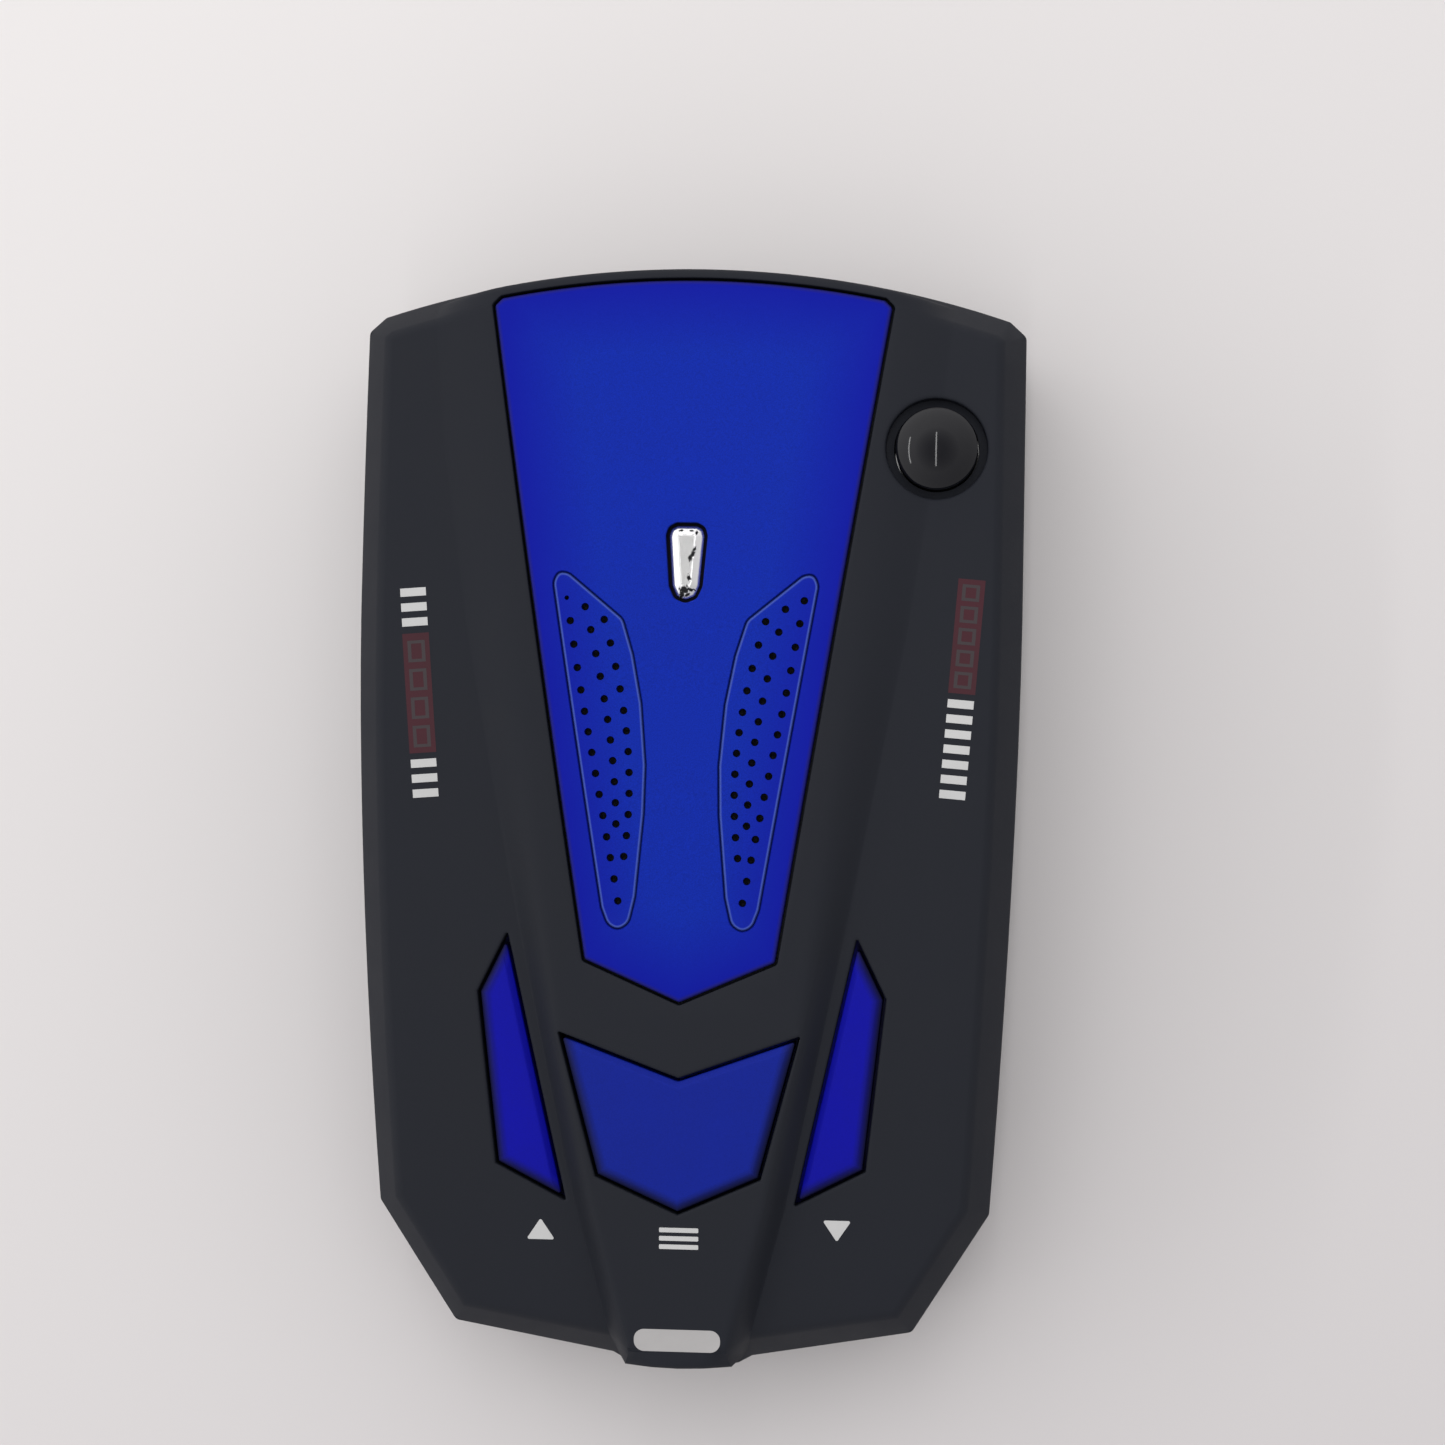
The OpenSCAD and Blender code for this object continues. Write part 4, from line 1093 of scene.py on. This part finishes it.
finish("capacitor_sleeve", (0.02, 0.03, 0.07), 0.4, 2.0, 0.01)
finish("plug_ivory", (0.75, 0.7, 0.55), 0.5, 4.0, 0.01)
finish("lead_red", (0.4, 0.015, 0.015), 0.45, 5.0, 0.01)
finish("digit_red", (0.35, 0.01, 0.01), 0.25, 3.0, 0.004, coat=0.4)
finish("speaker_steel", (0.45, 0.45, 0.45), 0.38, 3.0, 0.02, metallic=1.0)
finish("magnet_ferrite", (0.045, 0.045, 0.047), 0.7, 4.0, 0.04, metallic=0.3)
finish("cone_paper", (0.03, 0.028, 0.027), 0.9, 2.0, 0.06, specular=0.2)
finish("spindle_steel", (0.6, 0.59, 0.57), 0.28, 5.0, 0.006, metallic=1.0)
finish("pot_steel", (0.5, 0.5, 0.49), 0.4, 3.0, 0.015, metallic=1.0)
finish("jack_black", (0.014, 0.014, 0.015), 0.4, 5.0, 0.012)
finish("pin_brass", (0.75, 0.6, 0.3), 0.25, 6.0, 0.006, metallic=1.0, stretch=(1, 0.1, 0.1))
# The menu key's colour darkens toward its edges: painted shade on its rounded edges
finish("menu_blue", (0.003, 0.012, 0.215), 0.55, 8.0, 0.005, vary=0.06, rough_vary=0.05,
       specular=0.14, metallic=0.2, speckle=0.15, rim=(0.003, 0.004, 0.03), rim_w=1.15)
finish("ink_white", (0.47, 0.47, 0.47), 0.6, 6.0, 0.006, vary=0.06)
finish("ink_silver", (0.36, 0.35, 0.35), 0.5, 6.0, 0.006, vary=0.06)
finish("ink_red", (0.046, 0.011, 0.017), 0.65, 6.0, 0.006, vary=0.14, specular=0.25)
finish("ink_dark", (0.026, 0.016, 0.02), 0.6, 6.0, 0.006, vary=0.1)

# ---- what each piece is, stands for and rides on ----

PIECES = [
    (top_shell, "black_shell", "case", ["top_cover"]),
    (bottom_shell, "black_base", "case", ["bottom_cover"]),
    (blue_insert, "blue_panel", "case", ["centre_panel"]),
    (jewel, "badge_chrome", "case", ["badge"]),
    (key_menu, "blue_key", "menu_button", ["menu_key"]),
    (key_up, "blue_key", "up_button", ["up_key"]),
    (key_down, "blue_key", "down_button", ["down_key"]),
    (dome, "dome_black", "case", ["laser_dome"]),
    (window_front, "window_red", "case", ["front_window"]),
    (window_display, "window_smoke", "case", ["display_window"]),
    (wheel, "wheel_black", "volume_knob", ["volume_wheel"]),
    (feet[0], "foot_rubber", "case", ["foot_pads"]),
] + [(foot, "foot_rubber", "case", []) for foot in feet[1:]]
for obj, slot, body, stands_for in PIECES:
    obj.data.materials.clear()
    obj.data.materials.append(MATERIALS[slot])
    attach(obj, body)
    if stands_for:
        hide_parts(*stands_for)
key_menu.data.materials[0] = MATERIALS["menu_blue"]
for obj, look in prints:
    obj.data.materials.append(MATERIALS[look])
    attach(obj, "case")

# The CAD nodes that are shown as they are take the material of their slot
slot_of = {part["node"]: part["material_slot"] for part in frame["record"]["subparts"]}
replaced = {node for _, _, _, stands_for in PIECES for node in stands_for}
for node, obj in NODES.items():
    if node in replaced:
        continue
    for place in obj.material_slots:
        place.material = MATERIALS[slot_of[node]]
    smooth(obj.data, 30)
for node, width in (("case_screws", 0.12), ("power_jack", 0.25), ("jack_pin", 0.2), ("rating_label", 0.03)):
    rim_bevel(NODES[node], width, 2, 40)

# ---- the floor, the light and the camera ----

# The table's colour holds painted light: paler toward the windshield end and the left, darker toward the
# driver's end and the right, as the light falls off
tree, shader, place = nodes_of("pale_table")
TABLE_SHADED, TABLE_LIT, TABLE_SPAN = (0.53, 0.508, 0.516), (0.735, 0.713, 0.708), 0.075
slope = along_axis(tree, place, (-0.35 / TABLE_SPAN, 0.65 / TABLE_SPAN, 0))
tree.links.new(mixed(tree, ramp(tree, slope, -1.3, 1.3), TABLE_SHADED, TABLE_LIT), shader.inputs["Base Color"])
bumped(tree, noise(tree, place, 0.8, 3.0), shader, 0.01)
shader.inputs["Roughness"].default_value = 0.9
shader.inputs["Specular IOR Level"].default_value = 0.1
FLOOR_HALF, FLOOR_TOP = 3000, -0.02
corners = [(x * FLOOR_HALF, y * FLOOR_HALF) for x, y in ((-1, -1), (1, -1), (1, 1), (-1, 1))]
floor = new_object("table_top", [(x, y, FLOOR_TOP) for x, y in corners], [(0, 1, 2, 3)])
floor.data.materials.append(MATERIALS["pale_table"])

scene = bpy.context.scene
scene.view_settings.view_transform = "Standard"
# The room: brighter on the windshield end's left, and darker straight overhead, where the person with the
# camera stands
world = bpy.data.worlds.new("soft_room")
scene.world = world
world.use_nodes = True
tree = world.node_tree
sky = tree.nodes.new("ShaderNodeTexCoord").outputs["Generated"]
split = tree.nodes.new("ShaderNodeSeparateXYZ")
tree.links.new(sky, split.inputs[0])
background = tree.nodes["Background"]
background.inputs["Color"].default_value = (1.0, 0.99, 0.99, 1)
ROOM, OVERHEAD, DIM_SIDE, BRIGHT_SIDE = 0.95, 0.42, 0.6, 1.4
height = ramp(tree, split.outputs["Z"], 0.72, 0.97, ROOM, OVERHEAD)
side = ramp(tree, along_axis(tree, sky, (-0.6, 0.8, 0)), -1, 1, DIM_SIDE, BRIGHT_SIDE)
tree.links.new(maths(tree, "MULTIPLY", height, side), background.inputs["Strength"])


def area_light(name, at, target, size, radiance):
    light = bpy.data.lights.new(name, "AREA")
    light.shape, light.size, light.size_y = "RECTANGLE", size[0] * MM, size[1] * MM
    light.energy = radiance * math.pi * size[0] * size[1] * MM * MM
    obj = bpy.data.objects.new(name, light)
    obj.location = [c * MM for c in at]
    obj.rotation_euler = (Vector(target) - Vector(at)).to_track_quat("-Z", "Y").to_euler()
    scene.collection.objects.link(obj)
    return obj


area_light("ceiling_tube", (-10, 60, 1500), (-10, 60, 0), (60, 1900), 9.0)
area_light("side_tube", (-1476, 30, 1068), (0, 30, 30), (1500, 60), 10.0)
soft = area_light("overhead_soft", (-40, 330, 1400), (0, 0, 0), (1300, 1300), 1.25)
soft.visible_glossy = False

# The photograph's camera: nearly overhead, a little to the right, in millimetres and degrees
CAMERA_AT, CAMERA_TURN, CAMERA_LENS = (29.1, 1.7, 362.9), (1.38, 4.32, 1.01), 87.0
camera = bpy.data.cameras.new("camera")
camera.lens, camera.sensor_width = CAMERA_LENS, 36.0
camera.clip_start, camera.clip_end = 0.01, 10
camera_obj = bpy.data.objects.new("camera", camera)
camera_obj.location = [c * MM for c in CAMERA_AT]
camera_obj.rotation_euler = [math.radians(a) for a in CAMERA_TURN]
scene.collection.objects.link(camera_obj)
scene.camera = camera_obj
